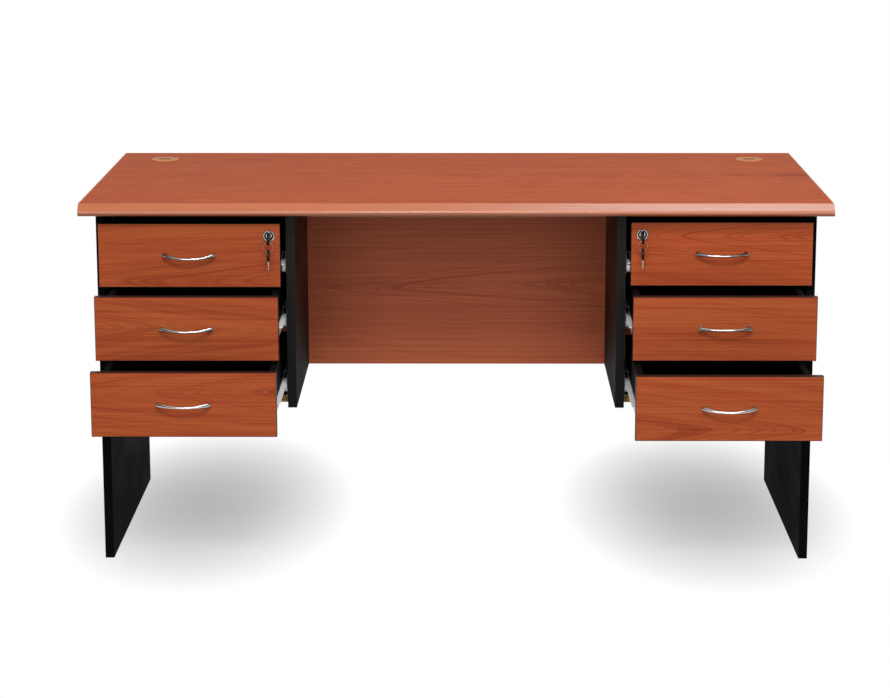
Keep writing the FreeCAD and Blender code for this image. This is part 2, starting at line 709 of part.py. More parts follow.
def make_handle():
    """Bow handle: a bar bent to an arc that dips forward, on two posts that screws hold from inside."""
    sweep = value("2 * asin(handle_length / 2 / bow_radius)")
    bar = bind(doc.addObject("Part::Torus", "handle_bar"), {"Radius1": "bow_radius", "Radius2": "handle_radius"})
    bind(bar, {"Angle3": "2 * asin(handle_length / 2 / bow_radius)"})
    middle_forward = FreeCAD.Rotation(Vector(0, 0, 1), -90 - sweep / 2)
    middle_down = FreeCAD.Rotation(Vector(1, 0, 0), value("handle_tilt"))
    place(bar, "-front_middle", "face_y - post_length + bow_offset * cos(handle_tilt)",
          "handle_z + bow_offset * sin(handle_tilt)", middle_down * middle_forward)
    pieces = [bar]
    bores = []
    screws = []
    for sign in "-+":
        end = bind(doc.addObject("Part::Sphere", "handle_end"), {"Radius": "handle_radius"})
        pieces.append(place(end, f"-front_middle {sign} handle_length / 2", "face_y - post_length", "handle_z"))
        across = f"-front_middle {sign} handle_pitch / 2"
        foot = (across, "face_y - post_reach", "handle_z")
        pieces.append(rod("handle_post", "post_radius", "post_reach", foot, ALONG_Y))
        tip = (across, "face_y - handle_screw_grip", "handle_z")
        bore = "handle_screw_radius + hole_clearance"
        bores.append(rod("handle_bore", bore, "handle_screw_grip", tip, ALONG_Y))
        shank = rod("handle_screw_shank", "handle_screw_radius", "handle_screw_grip + front_thickness", tip, ALONG_Y)
        head = rod("handle_screw_head", "handle_screw_head_radius", "handle_screw_head",
                   (across, "panel_y", "handle_z"), ALONG_Y)
        screws.append(fuse("handle_screw", [shank, head]))
    return group("handle", [cut("handle_bow", fuse("handle_solid", pieces), bores), *screws])


def make_drawers():
    """Six drawers, each at its own level and opening, with their runners and rollers."""
    handle = make_handle()
    rails = []
    for kind, floor, wall, levels in (("upper", "top_box_floor", "top_box_height", LEVELS[:1]),
                                      ("lower", "box_floor", "box_height", LEVELS[1:])):
        rear_x = "runner_space - runner_sheet - roller_side_gap - roller_width"
        front_roller = make_roller(f"{kind}_front_roller", "runner_sheet + roller_side_gap", "front_roller_y", floor)
        rear_roller = make_roller(f"{kind}_rear_roller", rear_x, "rear_roller_y", floor)
        cabinet_rails = paired(f"{kind}_cabinet_rails", make_cabinet_rail(kind, floor))
        fixed = {"cabinet_rollers": paired(f"{kind}_cabinet_rollers", front_roller)}
        moving = {"drawer_front": make_front(kind, floor, with_lock=kind == "upper"),
                  "drawer_box": make_box(kind, floor, wall),
                  "drawer_handle": handle,
                  "drawer_runners": paired(f"{kind}_drawer_rails", make_drawer_rail(kind, floor)),
                  "drawer_rollers": paired(f"{kind}_drawer_rollers", rear_roller)}
        for level in levels:
            lowered = f"-{LEVELS.index(level)} * front_pitch"
            rails.append(copied(cabinet_rails, z=lowered))
            for name, thing in (fixed | moving).items():
                for side, model in zip(SIDES, (thing, mirrored(thing))):
                    drawn = f"-opening_{side}_{level}" if name in moving else "0"
                    label = f"{side}_{level}_{name}"
                    keep(label, group(label, [copied(model, y=drawn, z=lowered)]))
    keep_both("cabinet_runners", group("left_cabinet_runners", rails))


# Locks and keys

def make_barrel():
    """Lock housing with a dished face inside a chamfered rim, through the drawer front, and its nut behind."""
    bore = "plug_radius + plug_clearance"
    barrel = turned("lock_barrel", [
        (bore, "lock_dish"), ("lock_face_radius - lock_chamfer - lock_rim", "0"),
        ("lock_face_radius - lock_chamfer", "0"), ("lock_face_radius", "lock_chamfer"),
        ("lock_face_radius", "lock_face"), ("lock_radius", "lock_face"), ("lock_radius", "lock_depth"),
        (bore, "lock_depth")])
    place(barrel, "-lock_x", "lock_face_y", "lock_z", ALONG_Y)
    nut_place = ("-lock_x", "panel_y", "lock_z")
    nut = cut("lock_nut", rod("nut_body", "nut_radius", "nut_thickness", nut_place, ALONG_Y),
              [rod("nut_bore", "lock_radius + hole_clearance", "nut_thickness", nut_place, ALONG_Y)])
    return group("barrel", [barrel, nut])


def make_plug():
    """Plug with its key slot, and the cam on the plug's rear end, which points to the drawer's middle."""
    front = "lock_face_y + lock_dish + plug_recess"
    cam_y = "lock_face_y + lock_depth + hole_clearance"
    plug = rod("plug_body", "plug_radius", f"{cam_y} - ({front})", ("-lock_x", front, "lock_z"), ALONG_Y)
    slot_width = "blade_thickness + 2 * blade_clearance"
    slot_height = "blade_width + 2 * blade_clearance"
    slot = box("plug_slot", (slot_width, "blade_length", slot_height),
               (f"-lock_x - ({slot_width}) / 2", "lock_face_y", f"lock_z - ({slot_height}) / 2"))
    arm = box("cam_arm", ("cam_length - cam_width / 2", "cam_thickness", "cam_width"),
              ("-lock_x - cam_length + cam_width / 2", cam_y, "lock_z - cam_width / 2"))
    ends = [rod("cam_end", "cam_width / 2", "cam_thickness", (across, cam_y, "lock_z"), ALONG_Y)
            for across in ("-lock_x", "-lock_x - cam_length + cam_width / 2")]
    return group("plug", [cut("lock_plug", plug, [slot]), fuse("lock_cam", [arm, *ends])])


def key_head(name, radius, y, z, hole_z):
    """Round flat key head across X with a hole for the ring."""
    start = "-lock_x - key_head_thickness / 2"
    disc = rod(name + "_disc", radius, "key_head_thickness", (start, y, z), ALONG_X)
    hole = rod(name + "_hole", "key_hole_radius", "key_head_thickness", (start, y, hole_z), ALONG_X)
    return cut(name, disc, [hole])


def make_key():
    """Key in the lock, its head upright, and the flat ring that hangs from the head."""
    head = key_head("key_head", "key_head_radius", "key_head_y", "key_head_z", "key_hole_z")
    thin = "blade_thickness"
    tang = "key_head_y + sqrt(key_head_radius ^ 2 - (key_head_drop + blade_width / 2) ^ 2)"
    tip = "lock_face_y + blade_length - blade_clearance"
    blade = box("key_blade_bar", (thin, f"{tip} - ({tang})", "blade_width"),
                (f"-lock_x - {thin} / 2", tang, "lock_z - blade_width / 2"))
    seat_start = (f"-lock_x - {thin} / 2", "key_head_y", "key_head_z")
    seat = rod("key_blade_seat", "key_head_radius", thin, seat_start, ALONG_X)
    ring_start = ("-lock_x", "key_head_y - ring_section / 2", "ring_z")
    ring = cut("key_ring", rod("ring_outer", "ring_radius + ring_section / 2", "ring_section", ring_start, ALONG_Y),
               [rod("ring_inner", "ring_radius - ring_section / 2", "ring_section", ring_start, ALONG_Y)])
    return group("key", [head, cut("key_blade", blade, [seat]), ring])


def make_spare_key():
    """Spare key that hangs from the ring's lowest point."""
    head = key_head("spare_head", "spare_head_radius", "key_head_y", "spare_head_z", "spare_hole_z")
    thin = "blade_thickness"
    top = "spare_head_z - sqrt(spare_head_radius ^ 2 - (spare_blade_width / 2) ^ 2)"
    corner = (f"-lock_x - {thin} / 2", "key_head_y - spare_blade_width / 2", f"{top} - spare_blade_length")
    blade = box("spare_blade_bar", (thin, "spare_blade_width", "spare_blade_length"), corner)
    seat_start = (f"-lock_x - {thin} / 2", "key_head_y", "spare_head_z")
    seat = rod("spare_blade_seat", "spare_head_radius", thin, seat_start, ALONG_X)
    return group("spare_key", [head, cut("spare_blade", blade, [seat])])


def make_locks():
    """A lock with its key, ring and spare key on each top drawer, drawn out with the drawer."""
    pieces = {"lock_barrel": make_barrel(), "lock_plug": make_plug(), "lock_key": make_key(),
              "spare_key": make_spare_key()}
    for name, thing in pieces.items():
        for side, model in zip(SIDES, (thing, mirrored(thing))):
            label = f"{side}_{name}"
            keep(label, group(label, [copied(model, y=f"-opening_{side}_top")]))


# Whole desk

def check_model():
    """Stops if any object failed to build or any sub-part has no valid shape."""
    doc.recompute()
    for thing in doc.Objects:
        if "Invalid" in thing.State or "Error" in thing.State:
            raise RuntimeError(f"{thing.Label}: {thing.State}")
    for thing in nodes:
        if thing.Shape.isNull() or not thing.Shape.isValid():
            raise RuntimeError(f"{thing.Label}: no valid shape")


def main():
    """Builds the desk and writes each sub-part to its own file."""
    fill_sheet()
    make_worktop()
    make_panels()
    make_fixings()
    make_grommets()
    make_drawers()
    make_locks()
    check_model()
    os.makedirs("parts", exist_ok=True)
    for thing in nodes:
        thing.Shape.exportStep(f"parts/{thing.Label}.step")
    print(f"{len(nodes)} sub-parts written")


if __name__ == "__main__":
    main()
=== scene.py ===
"""Pedestal office desk in a studio: cherry laminate, charcoal boards, drawers, locks and cable grommets."""
import logging
import math
from dataclasses import dataclass
from enum import Enum
from typing import Any, Mapping, Sequence

import bpy
import numpy as np
from mathutils import Matrix, Vector


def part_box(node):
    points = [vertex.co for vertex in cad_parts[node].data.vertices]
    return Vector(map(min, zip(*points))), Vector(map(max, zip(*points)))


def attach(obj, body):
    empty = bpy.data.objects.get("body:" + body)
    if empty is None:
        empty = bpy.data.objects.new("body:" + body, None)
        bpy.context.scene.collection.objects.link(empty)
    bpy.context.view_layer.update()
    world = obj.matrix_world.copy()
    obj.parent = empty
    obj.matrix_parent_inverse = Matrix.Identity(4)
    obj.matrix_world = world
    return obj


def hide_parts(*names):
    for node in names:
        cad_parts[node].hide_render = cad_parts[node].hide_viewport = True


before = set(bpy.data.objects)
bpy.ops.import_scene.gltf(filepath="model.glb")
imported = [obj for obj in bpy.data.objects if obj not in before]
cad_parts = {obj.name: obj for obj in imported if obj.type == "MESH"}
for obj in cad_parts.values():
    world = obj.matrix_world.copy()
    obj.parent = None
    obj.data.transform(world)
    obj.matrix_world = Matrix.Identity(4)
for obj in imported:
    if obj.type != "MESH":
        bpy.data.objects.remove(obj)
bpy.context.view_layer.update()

LOG = logging.getLogger("desk")
MM = 0.001
TURN = 2.0 * math.pi
TO_FRONT = np.array((0.0, -1.0, 0.0))
TO_BACK = np.array((0.0, 1.0, 0.0))
DOWN = np.array((0.0, 0.0, -1.0))
Pair = tuple[float, float]
Point = tuple[float, float, float]
Rgb = tuple[float, float, float]
Rgba = tuple[float, float, float, float]


class Side(Enum):
    """Half of the desk, with the sign of its X."""

    LEFT = -1
    RIGHT = 1

    @property
    def word(self) -> str:
        """Name of the side as the nodes spell it."""
        return self.name.lower()


class Level(Enum):
    """Place of a drawer in its pedestal, from the top."""

    TOP = 0
    MIDDLE = 1
    BOTTOM = 2

    @property
    def word(self) -> str:
        """Name of the level as the nodes spell it."""
        return self.name.lower()


class Across(Enum):
    """Axis that lies across the grain, as an index into X, Y, Z."""

    FLAT = 1
    UPRIGHT = 2


def ink(red: float, green: float, blue: float) -> Rgba:
    """Turns an eight-bit display colour into a linear one, by the curve of sRGB.

    Args:
        red: Red from 0 to 255.
        green: Green from 0 to 255.
        blue: Blue from 0 to 255.

    Returns:
        Linear red, green, blue and full alpha.
    """
    shares = np.array((red, green, blue)) / 255.0
    linear = np.where(shares <= 0.04045, shares / 12.92, ((shares + 0.055) / 1.055) ** 2.4)
    return (float(linear[0]), float(linear[1]), float(linear[2]), 1.0)


# Shader maths

# Colour sockets of the Mix node go by number, because they share their names with its other sockets
MIX_FIRST, MIX_SECOND, MIX_RESULT = 6, 7, 2
# A face looks along an axis where its normal's share of that axis is above this
FACING = 0.5
# Most values of a noise lie in this range
USUAL: Pair = (0.3, 0.7)


class Value:
    """Number at a socket of a shader that takes part in arithmetic."""

    def __init__(self, graph: "Graph", socket: Any) -> None:
        """Keeps the graph and the socket."""
        self.graph = graph
        self.socket = socket

    def _math(self, operation: str, first: Any, second: Any) -> "Value":
        """Adds one Math node.

        Args:
            operation: Blender's name of the operation.
            first: Number or value on the left.
            second: Number or value on the right.

        Returns:
            The node's result.
        """
        return self.graph.number("ShaderNodeMath", {"operation": operation}, {0: first, 1: second})

    def __add__(self, other: Any) -> "Value":
        """Sum."""
        return self._math("ADD", self, other)

    def __radd__(self, other: Any) -> "Value":
        """Sum with a number on the left."""
        return self._math("ADD", other, self)

    def __sub__(self, other: Any) -> "Value":
        """Difference."""
        return self._math("SUBTRACT", self, other)

    def __rsub__(self, other: Any) -> "Value":
        """Difference with a number on the left."""
        return self._math("SUBTRACT", other, self)

    def __mul__(self, other: Any) -> "Value":
        """Product."""
        return self._math("MULTIPLY", self, other)

    def __rmul__(self, other: Any) -> "Value":
        """Product with a number on the left."""
        return self._math("MULTIPLY", other, self)

    def __gt__(self, other: Any) -> "Value":
        """One where this is more than the other, else zero."""
        return self._math("GREATER_THAN", self, other)

    def __lt__(self, other: Any) -> "Value":
        """One where this is less than the other, else zero."""
        return self._math("LESS_THAN", self, other)

    def __abs__(self) -> "Value":
        """Size without sign."""
        return self._math("ABSOLUTE", self, 0.0)

    def at_least(self, other: Any) -> "Value":
        """Larger of this and the other."""
        return self._math("MAXIMUM", self, other)

    def root(self) -> "Value":
        """Square root."""
        return self._math("SQRT", self, 0.0)


class Graph:
    """Node tree of one material or of the world."""

    def __init__(self, owner: Any) -> None:
        """Starts an empty tree.

        Args:
            owner: Material or world that gets the tree.
        """
        self.owner = owner
        owner.use_nodes = True
        self.tree = owner.node_tree
        self.tree.nodes.clear()

    def node(self, kind: str, settings: Mapping[str, Any], inputs: Mapping[Any, Any]) -> Any:
        """Adds one node.

        Args:
            kind: Blender's node type.
            settings: Properties, or the stops of a ramp, which are set first.
            inputs: Sockets by name or number, with numbers, colours or values.

        Returns:
            The new node.
        """
        item = self.tree.nodes.new(kind)
        for name, setting in settings.items():
            if name == "stops":
                self._set_stops(item.color_ramp, setting)
            else:
                setattr(item, name, setting)
        for name, given in inputs.items():
            if isinstance(given, Value):
                self.tree.links.new(given.socket, item.inputs[name])
            else:
                item.inputs[name].default_value = given
        return item

    @staticmethod
    def _set_stops(ramp: Any, stops: Sequence[tuple[float, Any]]) -> None:
        """Gives a colour ramp its stops.

        Args:
            ramp: The ramp.
            stops: Position and colour of each stop, in order.
        """
        while len(ramp.elements) < len(stops):
            ramp.elements.new(0.5)
        for element, (position, colour) in zip(ramp.elements, stops):
            element.position = position
            element.color = colour

    def number(self, kind: str, settings: Mapping[str, Any], inputs: Mapping[Any, Any],
               output: int | str = 0) -> Value:
        """Adds one node and gives one of its results, by number or name."""
        return Value(self, self.node(kind, settings, inputs).outputs[output])

    def coordinates(self, output: str) -> tuple[Value, Value, Value]:
        """X, Y and Z of one output of the texture coordinates."""
        whole = self.number("ShaderNodeTexCoord", {}, {}, output)
        parts = self.node("ShaderNodeSeparateXYZ", {}, {0: whole})
        return tuple(Value(self, socket) for socket in parts.outputs)

    def place(self) -> tuple[Value, Value, Value]:
        """Object coordinates of the shaded point, in metres."""
        return self.coordinates("Object")

    def facing(self) -> tuple[Value, Value, Value]:
        """Object-space normal of the shaded point."""
        return self.coordinates("Normal")

    def scaled(self, place: Sequence[Value], waves: Point) -> Value:
        """Vector of a place whose coordinates are counted in waves."""
        parts = {axis: part * count for axis, (part, count) in enumerate(zip(place, waves))}
        return self.number("ShaderNodeCombineXYZ", {}, parts)

    def span(self, value: Value, low: float, high: float, start: float = 0.0, end: float = 1.0) -> Value:
        """Maps low to high onto start to end, clamped."""
        return self.number("ShaderNodeMapRange", {"clamp": True},
                           {"Value": value, "From Min": low, "From Max": high, "To Min": start, "To Max": end})

    def blend(self, factor: Any, first: Any, second: Any) -> Value:
        """Colour between two colours."""
        return self.number("ShaderNodeMix", {"data_type": "RGBA"},
                           {0: factor, MIX_FIRST: first, MIX_SECOND: second}, MIX_RESULT)

    def ramp(self, value: Value, stops: Sequence[tuple[float, Any]]) -> Value:
        """Colour along a ramp."""
        return self.number("ShaderNodeValToRGB", {"stops": stops}, {0: value})

    def close(self, colour: Any, roughness: Any, height: Value | None = None, lift: float = 0.0,
              **sockets: Any) -> bpy.types.Material:
        """Ends the graph in one Principled surface.

        Args:
            colour: Base colour.
            roughness: Roughness.
            height: Relief for a bump, if any.
            lift: Height of the relief in metres.
            **sockets: Other sockets, with underscores for the spaces of their names.

        Returns:
            The finished material.
        """
        inputs = {"Base Color": colour, "Roughness": roughness}
        inputs.update({name.replace("_", " "): given for name, given in sockets.items()})
        if height is not None:
            inputs["Normal"] = self.number("ShaderNodeBump", {},
                                           {"Strength": 1.0, "Distance": lift, "Height": height})
        surface = self.number("ShaderNodeBsdfPrincipled", {}, inputs)
        self.node("ShaderNodeOutputMaterial", {}, {"Surface": surface})
        return self.owner

    def seen_white(self, lit: Value, share: Any) -> Value:
        """Mixes plain white over a shader for rays that come from the camera, a gloss or a glass.

        Args:
            lit: Shader that lights the object.
            share: How much of the white is mixed in, as a number or a value.

        Returns:
            The mixed shader.
        """
        path = self.node("ShaderNodeLightPath", {}, {}).outputs
        camera, gloss, glass = (Value(self, path[f"Is {ray} Ray"])
                                for ray in ("Camera", "Glossy", "Transmission"))
        seen = camera.at_least(gloss).at_least(glass)
        white = self.number("ShaderNodeEmission", {}, {"Color": (1.0, 1.0, 1.0, 1.0), "Strength": 1.0})
        return self.number("ShaderNodeMixShader", {}, {0: seen * share, 1: lit, 2: white})


@dataclass(frozen=True)
class Layer:
    """Cloudy noise: waves per metre on three axes, octaves, roughness, and the range that is kept of it."""

    waves: Point
    octaves: float = 1.0
    rough: float = 0.5
    kept: Pair | None = None
    gives: Pair = (0.0, 1.0)

    def over(self, graph: Graph, *place: Value) -> Value:
        """Lays the noise over a place.

        Args:
            graph: Tree to build in.
            *place: Three coordinates in metres.

        Returns:
            Noise about one half, or the kept range of it mapped onto what the layer gives.
        """
        cloud = graph.number("ShaderNodeTexNoise", {"noise_dimensions": "3D"},
                             {"Vector": graph.scaled(place, self.waves), "Scale": 1.0, "Detail": self.octaves,
                              "Roughness": self.rough})
        return cloud if self.kept is None else graph.span(cloud, *self.kept, *self.gives)


# Finishes

@dataclass(frozen=True)
class Finish:
    """Surface of a material, made once and shared by the pieces that have it."""

    name: str

    def material(self) -> bpy.types.Material:
        """The finish as a Blender material."""
        found = bpy.data.materials.get(self.name)
        return found or self.make(Graph(bpy.data.materials.new(self.name)))

    def make(self, graph: Graph) -> bpy.types.Material:
        """Builds the node tree."""
        raise NotImplementedError

    def dress(self, piece: bpy.types.Object) -> None:
        """Puts the finish on a piece in place of what it has."""
        if not piece.material_slots:
            piece.data.materials.append(None)
        for held in piece.material_slots:
            held.material = self.material()


# Layers of the wood figure: rings and years run outwards, along and through, the others along, across and through
DRIFT = Layer((2.4, 5.0, 0.8), 2.0, 0.45)
RINGS = Layer((190.0, 0.6, 0.5))
YEARS = Layer((75.0, 1.5, 0.5), kept=(0.38, 0.62), gives=(0.2, 1.0))
STRANDS = Layer((2.0, 380.0, 2.0), 3.0, 0.6)
BROAD = Layer((8.0, 85.0, 2.0), 4.0, 0.7)
CLOUD = Layer((2.2, 9.0, 2.0), 2.0, kept=(0.35, 0.75), gives=(0.0, 0.3))
PORES = Layer((42.0, 1500.0, 40.0), kept=(0.60, 0.72))
FLECKS = Layer((14.0, 50.0, 9.0), kept=(0.68, 0.76))
SPECKS = Layer((140.0, 60.0, 40.0), kept=(0.73, 0.78))


@dataclass(frozen=True)
class Cherry(Finish):
    """Cherry print under a satin laminate, with the grain along X.

    The figure is that of a board sawn from a tapering log: a growth ring lies where the distance from the
    log's heart, less a share of the way along the grain, is the same. So the rings run out in arches.
    """

    across: Across = Across.UPRIGHT
    heart: float = 0.0
    core: float = 0.009
    taper: float = 0.12
    wander: float = 0.04
    shift: float = 0.0
    pale: Rgb = (172, 81, 45)
    deep: Rgb = (148, 63, 32)
    vein: Rgb = (120, 44, 22)
    gold: Rgb = (184, 104, 52)
    speck: Rgb = (216, 158, 134)
    flame: float = 0.0
    dust: float = 0.0
    line_half: float = 0.06
    line_reach: Pair = (0.010, 0.06)
    line_share: Pair = (0.75, 0.26)
    strand_bend: float = 14.0 / 380.0
    ground_stops: Pair = (0.38, 0.58)
    ring_share: float = 0.1
    gold_share: float = 0.25
    pore_share: float = 0.2
    strand_lift: float = 0.3
    satin: Pair = (0.41, 0.52)
    shine: float = 0.08
    lift: float = 0.04 * MM

    def figure(self, graph: Graph) -> tuple[Value, Value, Value]:
        """Wood figure: thin growth lines in arches about the heart, over golden streaks, strands and pores.

        Flame mixes broad streaks and a few dark flecks into the strands, and dust adds pale specks on top.

        Args:
            graph: Tree to build in.

        Returns:
            Colour, strand strength and relief.
        """
        place = graph.place()
        along = place[0] + self.shift
        across = place[self.across.value]
        other = place[3 - self.across.value]
        drift = DRIFT.over(graph, along, across, other + self.shift / DRIFT.waves[2])
        beside = across - self.heart + (drift - 0.5) * self.wander
        reach = (beside * beside + self.core ** 2).root() - self.taper * along
        growth = RINGS.over(graph, reach, along, other)
        years = YEARS.over(graph, reach, along, other)
        near = graph.span(abs(beside), *self.line_reach, *self.line_share)
        lines = graph.span(abs(growth - 0.5), 0.0, self.line_half, 1.0, 0.0) * years * near
        strands = STRANDS.over(graph, along, across + reach * self.strand_bend, other)
        broad, cloud, pores, flecks, specks = (layer.over(graph, along, across, other)
                                               for layer in (BROAD, CLOUD, PORES, FLECKS, SPECKS))
        mixed = strands * (1.0 - self.ring_share - self.flame) + broad * self.flame + growth * self.ring_share
        pale, deep, vein = ink(*self.pale), ink(*self.deep), ink(*self.vein)
        ground = graph.ramp(mixed, list(zip(self.ground_stops, (deep, pale))))
        golden = graph.blend((1.0 - years) * self.gold_share, ground, ink(*self.gold))
        ringed = graph.blend(lines, graph.blend(cloud, golden, deep), vein)
        grained = graph.blend((pores * self.pore_share).at_least(flecks * self.flame), ringed, vein)
        colour = graph.blend(specks * self.dust, grained, ink(*self.speck))
        return colour, strands, strands * self.strand_lift - pores

    def make(self, graph: Graph) -> bpy.types.Material:
        """Laminate with a faint relief of pores."""
        colour, strands, relief = self.figure(graph)
        return graph.close(colour, graph.span(strands, *USUAL, *self.satin), relief, self.lift,
                           Specular_IOR_Level=self.shine)


@dataclass(frozen=True)
class BandedFront(Cherry):
    """Cherry front whose edges carry a dark band that shows as a thin rim from the front."""

    center: Pair = (0.0, 0.0)
    half: Pair = (0.1, 0.05)
    band: Rgb = (24, 21, 22)
    band_rough: float = 0.36
    face_rough: float = 0.06

    def make(self, graph: Graph) -> bpy.types.Material:
        """Cherry within the rim of the two large faces, which are a little rougher than the band around them."""
        colour, _, relief = self.figure(graph)
        x, _, z = graph.place()
        _, out, _ = graph.facing()
        inside = (abs(x - self.center[0]) < self.half[0]) * (abs(z - self.center[1]) < self.half[1])
        face = inside * (abs(out) > FACING)
        return graph.close(graph.blend(face, ink(*self.band), colour), self.band_rough + self.face_rough * face,
                           relief * face, self.lift, Specular_IOR_Level=self.shine)


@dataclass(frozen=True)
class Lipping(Finish):
    """Smooth printed lipping, paler and glossier than the worktop it edges."""

    pale: Rgb = (184, 104, 66)
    deep: Rgb = (171, 95, 60)
    rubbed: Rgb = (214, 150, 122)
    # Painted shade: the colour that darkens the down-facing underside and the lower nose of the lip
    under: Rgb = (92, 34, 12)
    streak: Layer = Layer((1.6, 130.0, 130.0), 3.0, 0.55)
    fleck: Layer = Layer((55.0, 260.0, 260.0), 2.0, kept=(0.70, 0.80), gives=(0.0, 0.35))
    tones: Pair = (0.32, 0.68)
    underside_shade_slope: Pair = (-0.95, 0.2)
    underside_shade_share: float = 0.85
    nose_slope: Pair = (0.40, 0.62)
    nose_share: float = 0.55
    satin: Pair = (0.26, 0.34)
    shine: float = 0.46
    # Painted light: a blue tint on every reflection, standing in for bluish light that no lamp gives
    blue_light_tint: Rgba = (0.62, 0.95, 1.0, 1.0)
    lift: float = 0.03 * MM

    def make(self, graph: Graph) -> bpy.types.Material:
        """Long soft streaks under a gloss, with a few rubbed flecks, a polished nose, and painted shade that
        darkens the underside and the lower nose.
        """
        place = graph.place()
        _, _, up = graph.facing()
        streaks = self.streak.over(graph, *place)
        ground = graph.blend(graph.span(streaks, *self.tones), ink(*self.deep), ink(*self.pale))
        face = graph.blend(self.fleck.over(graph, *place), ground, ink(*self.rubbed))
        # Painted shade: faces that turn downwards are darkened towards the under colour
        colour = graph.blend(graph.span(up, *self.underside_shade_slope, self.underside_shade_share, 0.0), face, ink(*self.under))
        satin = graph.span(streaks, *USUAL, *self.satin) * graph.span(up, *self.nose_slope, self.nose_share, 1.0)
        return graph.close(colour, satin, streaks, self.lift, Specular_IOR_Level=self.shine,
                           Specular_Tint=self.blue_light_tint)


@dataclass(frozen=True)
class Melamine(Finish):
    """Dark melamine board with a fine pearl grain."""

    tone: Rgb = (14, 14, 14)
    gloss: Pair = (0.34, 0.50)
    shine: float = 0.13
    scuffed: Pair = (0.0, -1.0)
    scuff_blur: float = 0.06
    scuff_rough: float = 0.4
    pearl: Layer = Layer((900.0, 900.0, 900.0))
    pearl_kept: Pair = (0.40, 0.75)
    pearl_share: float = 0.6
    pearl_gain: int = 7
    smear: Layer = Layer((5.0, 5.0, 9.0), 4.0, 0.6)
    lift: float = 0.03 * MM

    def make(self, graph: Graph) -> bpy.types.Material:
        """Even dark colour, pearl bump, faint handling marks, and rubs that dull the gloss lower down."""
        x, y, z = graph.place()
        pearl = self.pearl.over(graph, x, y, z)
        smear = self.smear.over(graph, x, y, z)
        lighter = tuple(part + self.pearl_gain for part in self.tone)
        colour = graph.blend(graph.span(pearl, *self.pearl_kept, 0.0, self.pearl_share), ink(*self.tone),
                             ink(*lighter))
        rubbed = graph.span(z + (smear - 0.5) * self.scuff_blur, *self.scuffed, 0.0, self.scuff_rough)
        return graph.close(colour, graph.span(smear, *USUAL, *self.gloss) + rubbed, pearl, self.lift,
                           Specular_IOR_Level=self.shine)


@dataclass(frozen=True)
class Chipboard(Finish):
    """Raw chipboard edges between dark melamine faces."""

    flakes: Point = (190.0, 190.0, 420.0)
    flake_share: float = 0.7
    grit: Layer = Layer((900.0, 900.0, 900.0), 2.0)
    grit_share: float = 0.3
    stops: Point = (0.15, 0.45, 0.85)
    wood: tuple[Rgb, Rgb, Rgb] = ((112, 76, 40), (186, 142, 86), (226, 190, 132))
    face: Rgb = (27, 28, 28)
    rough: float = 0.75
    lift: float = 0.3 * MM

    def make(self, graph: Graph) -> bpy.types.Material:
        """Flakes from cells of a stretched grid on upright faces, melamine on the flat ones."""
        place = graph.place()
        _, _, up = graph.facing()
        flakes = graph.number("ShaderNodeTexVoronoi", {"feature": "F1"},
                              {"Vector": graph.scaled(place, self.flakes), "Scale": 1.0}, "Color")
        shade = graph.number("ShaderNodeRGBToBW", {}, {0: flakes})
        tone = shade * self.flake_share + self.grit.over(graph, *place) * self.grit_share
        wood = graph.ramp(tone, [(stop, ink(*tint)) for stop, tint in zip(self.stops, self.wood)])
        return graph.close(graph.blend(abs(up) > FACING, wood, ink(*self.face)), self.rough, tone, self.lift)


@dataclass(frozen=True)
class CoatedSteel(Finish):
    """Epoxy coat on folded steel, white unless told otherwise."""

    tone: Rgb = (246, 247, 248)
    rub: Rgb = (176, 176, 175)
    rubs: Layer = Layer((300.0, 7.0, 260.0), 3.0, kept=(0.58, 0.74))
    rub_share: float = 0.35
    rub_rough: float = 0.18
    peel: Layer = Layer((420.0, 420.0, 420.0), 2.0)
    rough: float = 0.34
    lift: float = 0.06 * MM

    def make(self, graph: Graph) -> bpy.types.Material:
        """Orange-peel bump, and grey rub marks along the track."""
        place = graph.place()
        rubs = self.rubs.over(graph, *place)
        colour = graph.blend(rubs * self.rub_share, ink(*self.tone), ink(*self.rub))
        return graph.close(colour, self.rough + self.rub_rough * rubs, self.peel.over(graph, *place), self.lift)


@dataclass(frozen=True)
class Moulding(Finish):
    """Moulded plastic with a soft speckle and a fine texture, and painted shade that darkens what lies below a
    height, such as the inside of a grommet's hole.
    """

    tone: Rgb
    rough: Pair
    shine: float = 0.5
    shade_below: float = 0.0
    shade_below_blur: float = 0.4 * MM
    recess_shade_share: float = 0.14
    drift: Layer = Layer((30.0, 30.0, 30.0), 3.0, kept=(0.3, 0.75))
    drift_share: float = 0.86
    grain: Layer = Layer((600.0, 600.0, 600.0), 2.0)
    lift: float = 0.05 * MM

    def make(self, graph: Graph) -> bpy.types.Material:
        """Colour that drifts a little, with a moulded grain, and painted shade below a height."""
        x, y, z = graph.place()
        grain = self.grain.over(graph, x, y, z)
        drifted, recess_shade = (tuple(part * share for part in self.tone)
                         for share in (self.drift_share, self.recess_shade_share))
        face = graph.blend(self.drift.over(graph, x, y, z), ink(*self.tone), ink(*drifted))
        # Painted shade: below the height the colour falls towards a near-black copy of the tone, as in the shade
        # of a hole
        colour = graph.blend(graph.span(z, self.shade_below - self.shade_below_blur, self.shade_below, 1.0, 0.0), face, ink(*recess_shade))
        return graph.close(colour, graph.span(grain, *USUAL, *self.rough), grain, self.lift,
                           Specular_IOR_Level=self.shine)


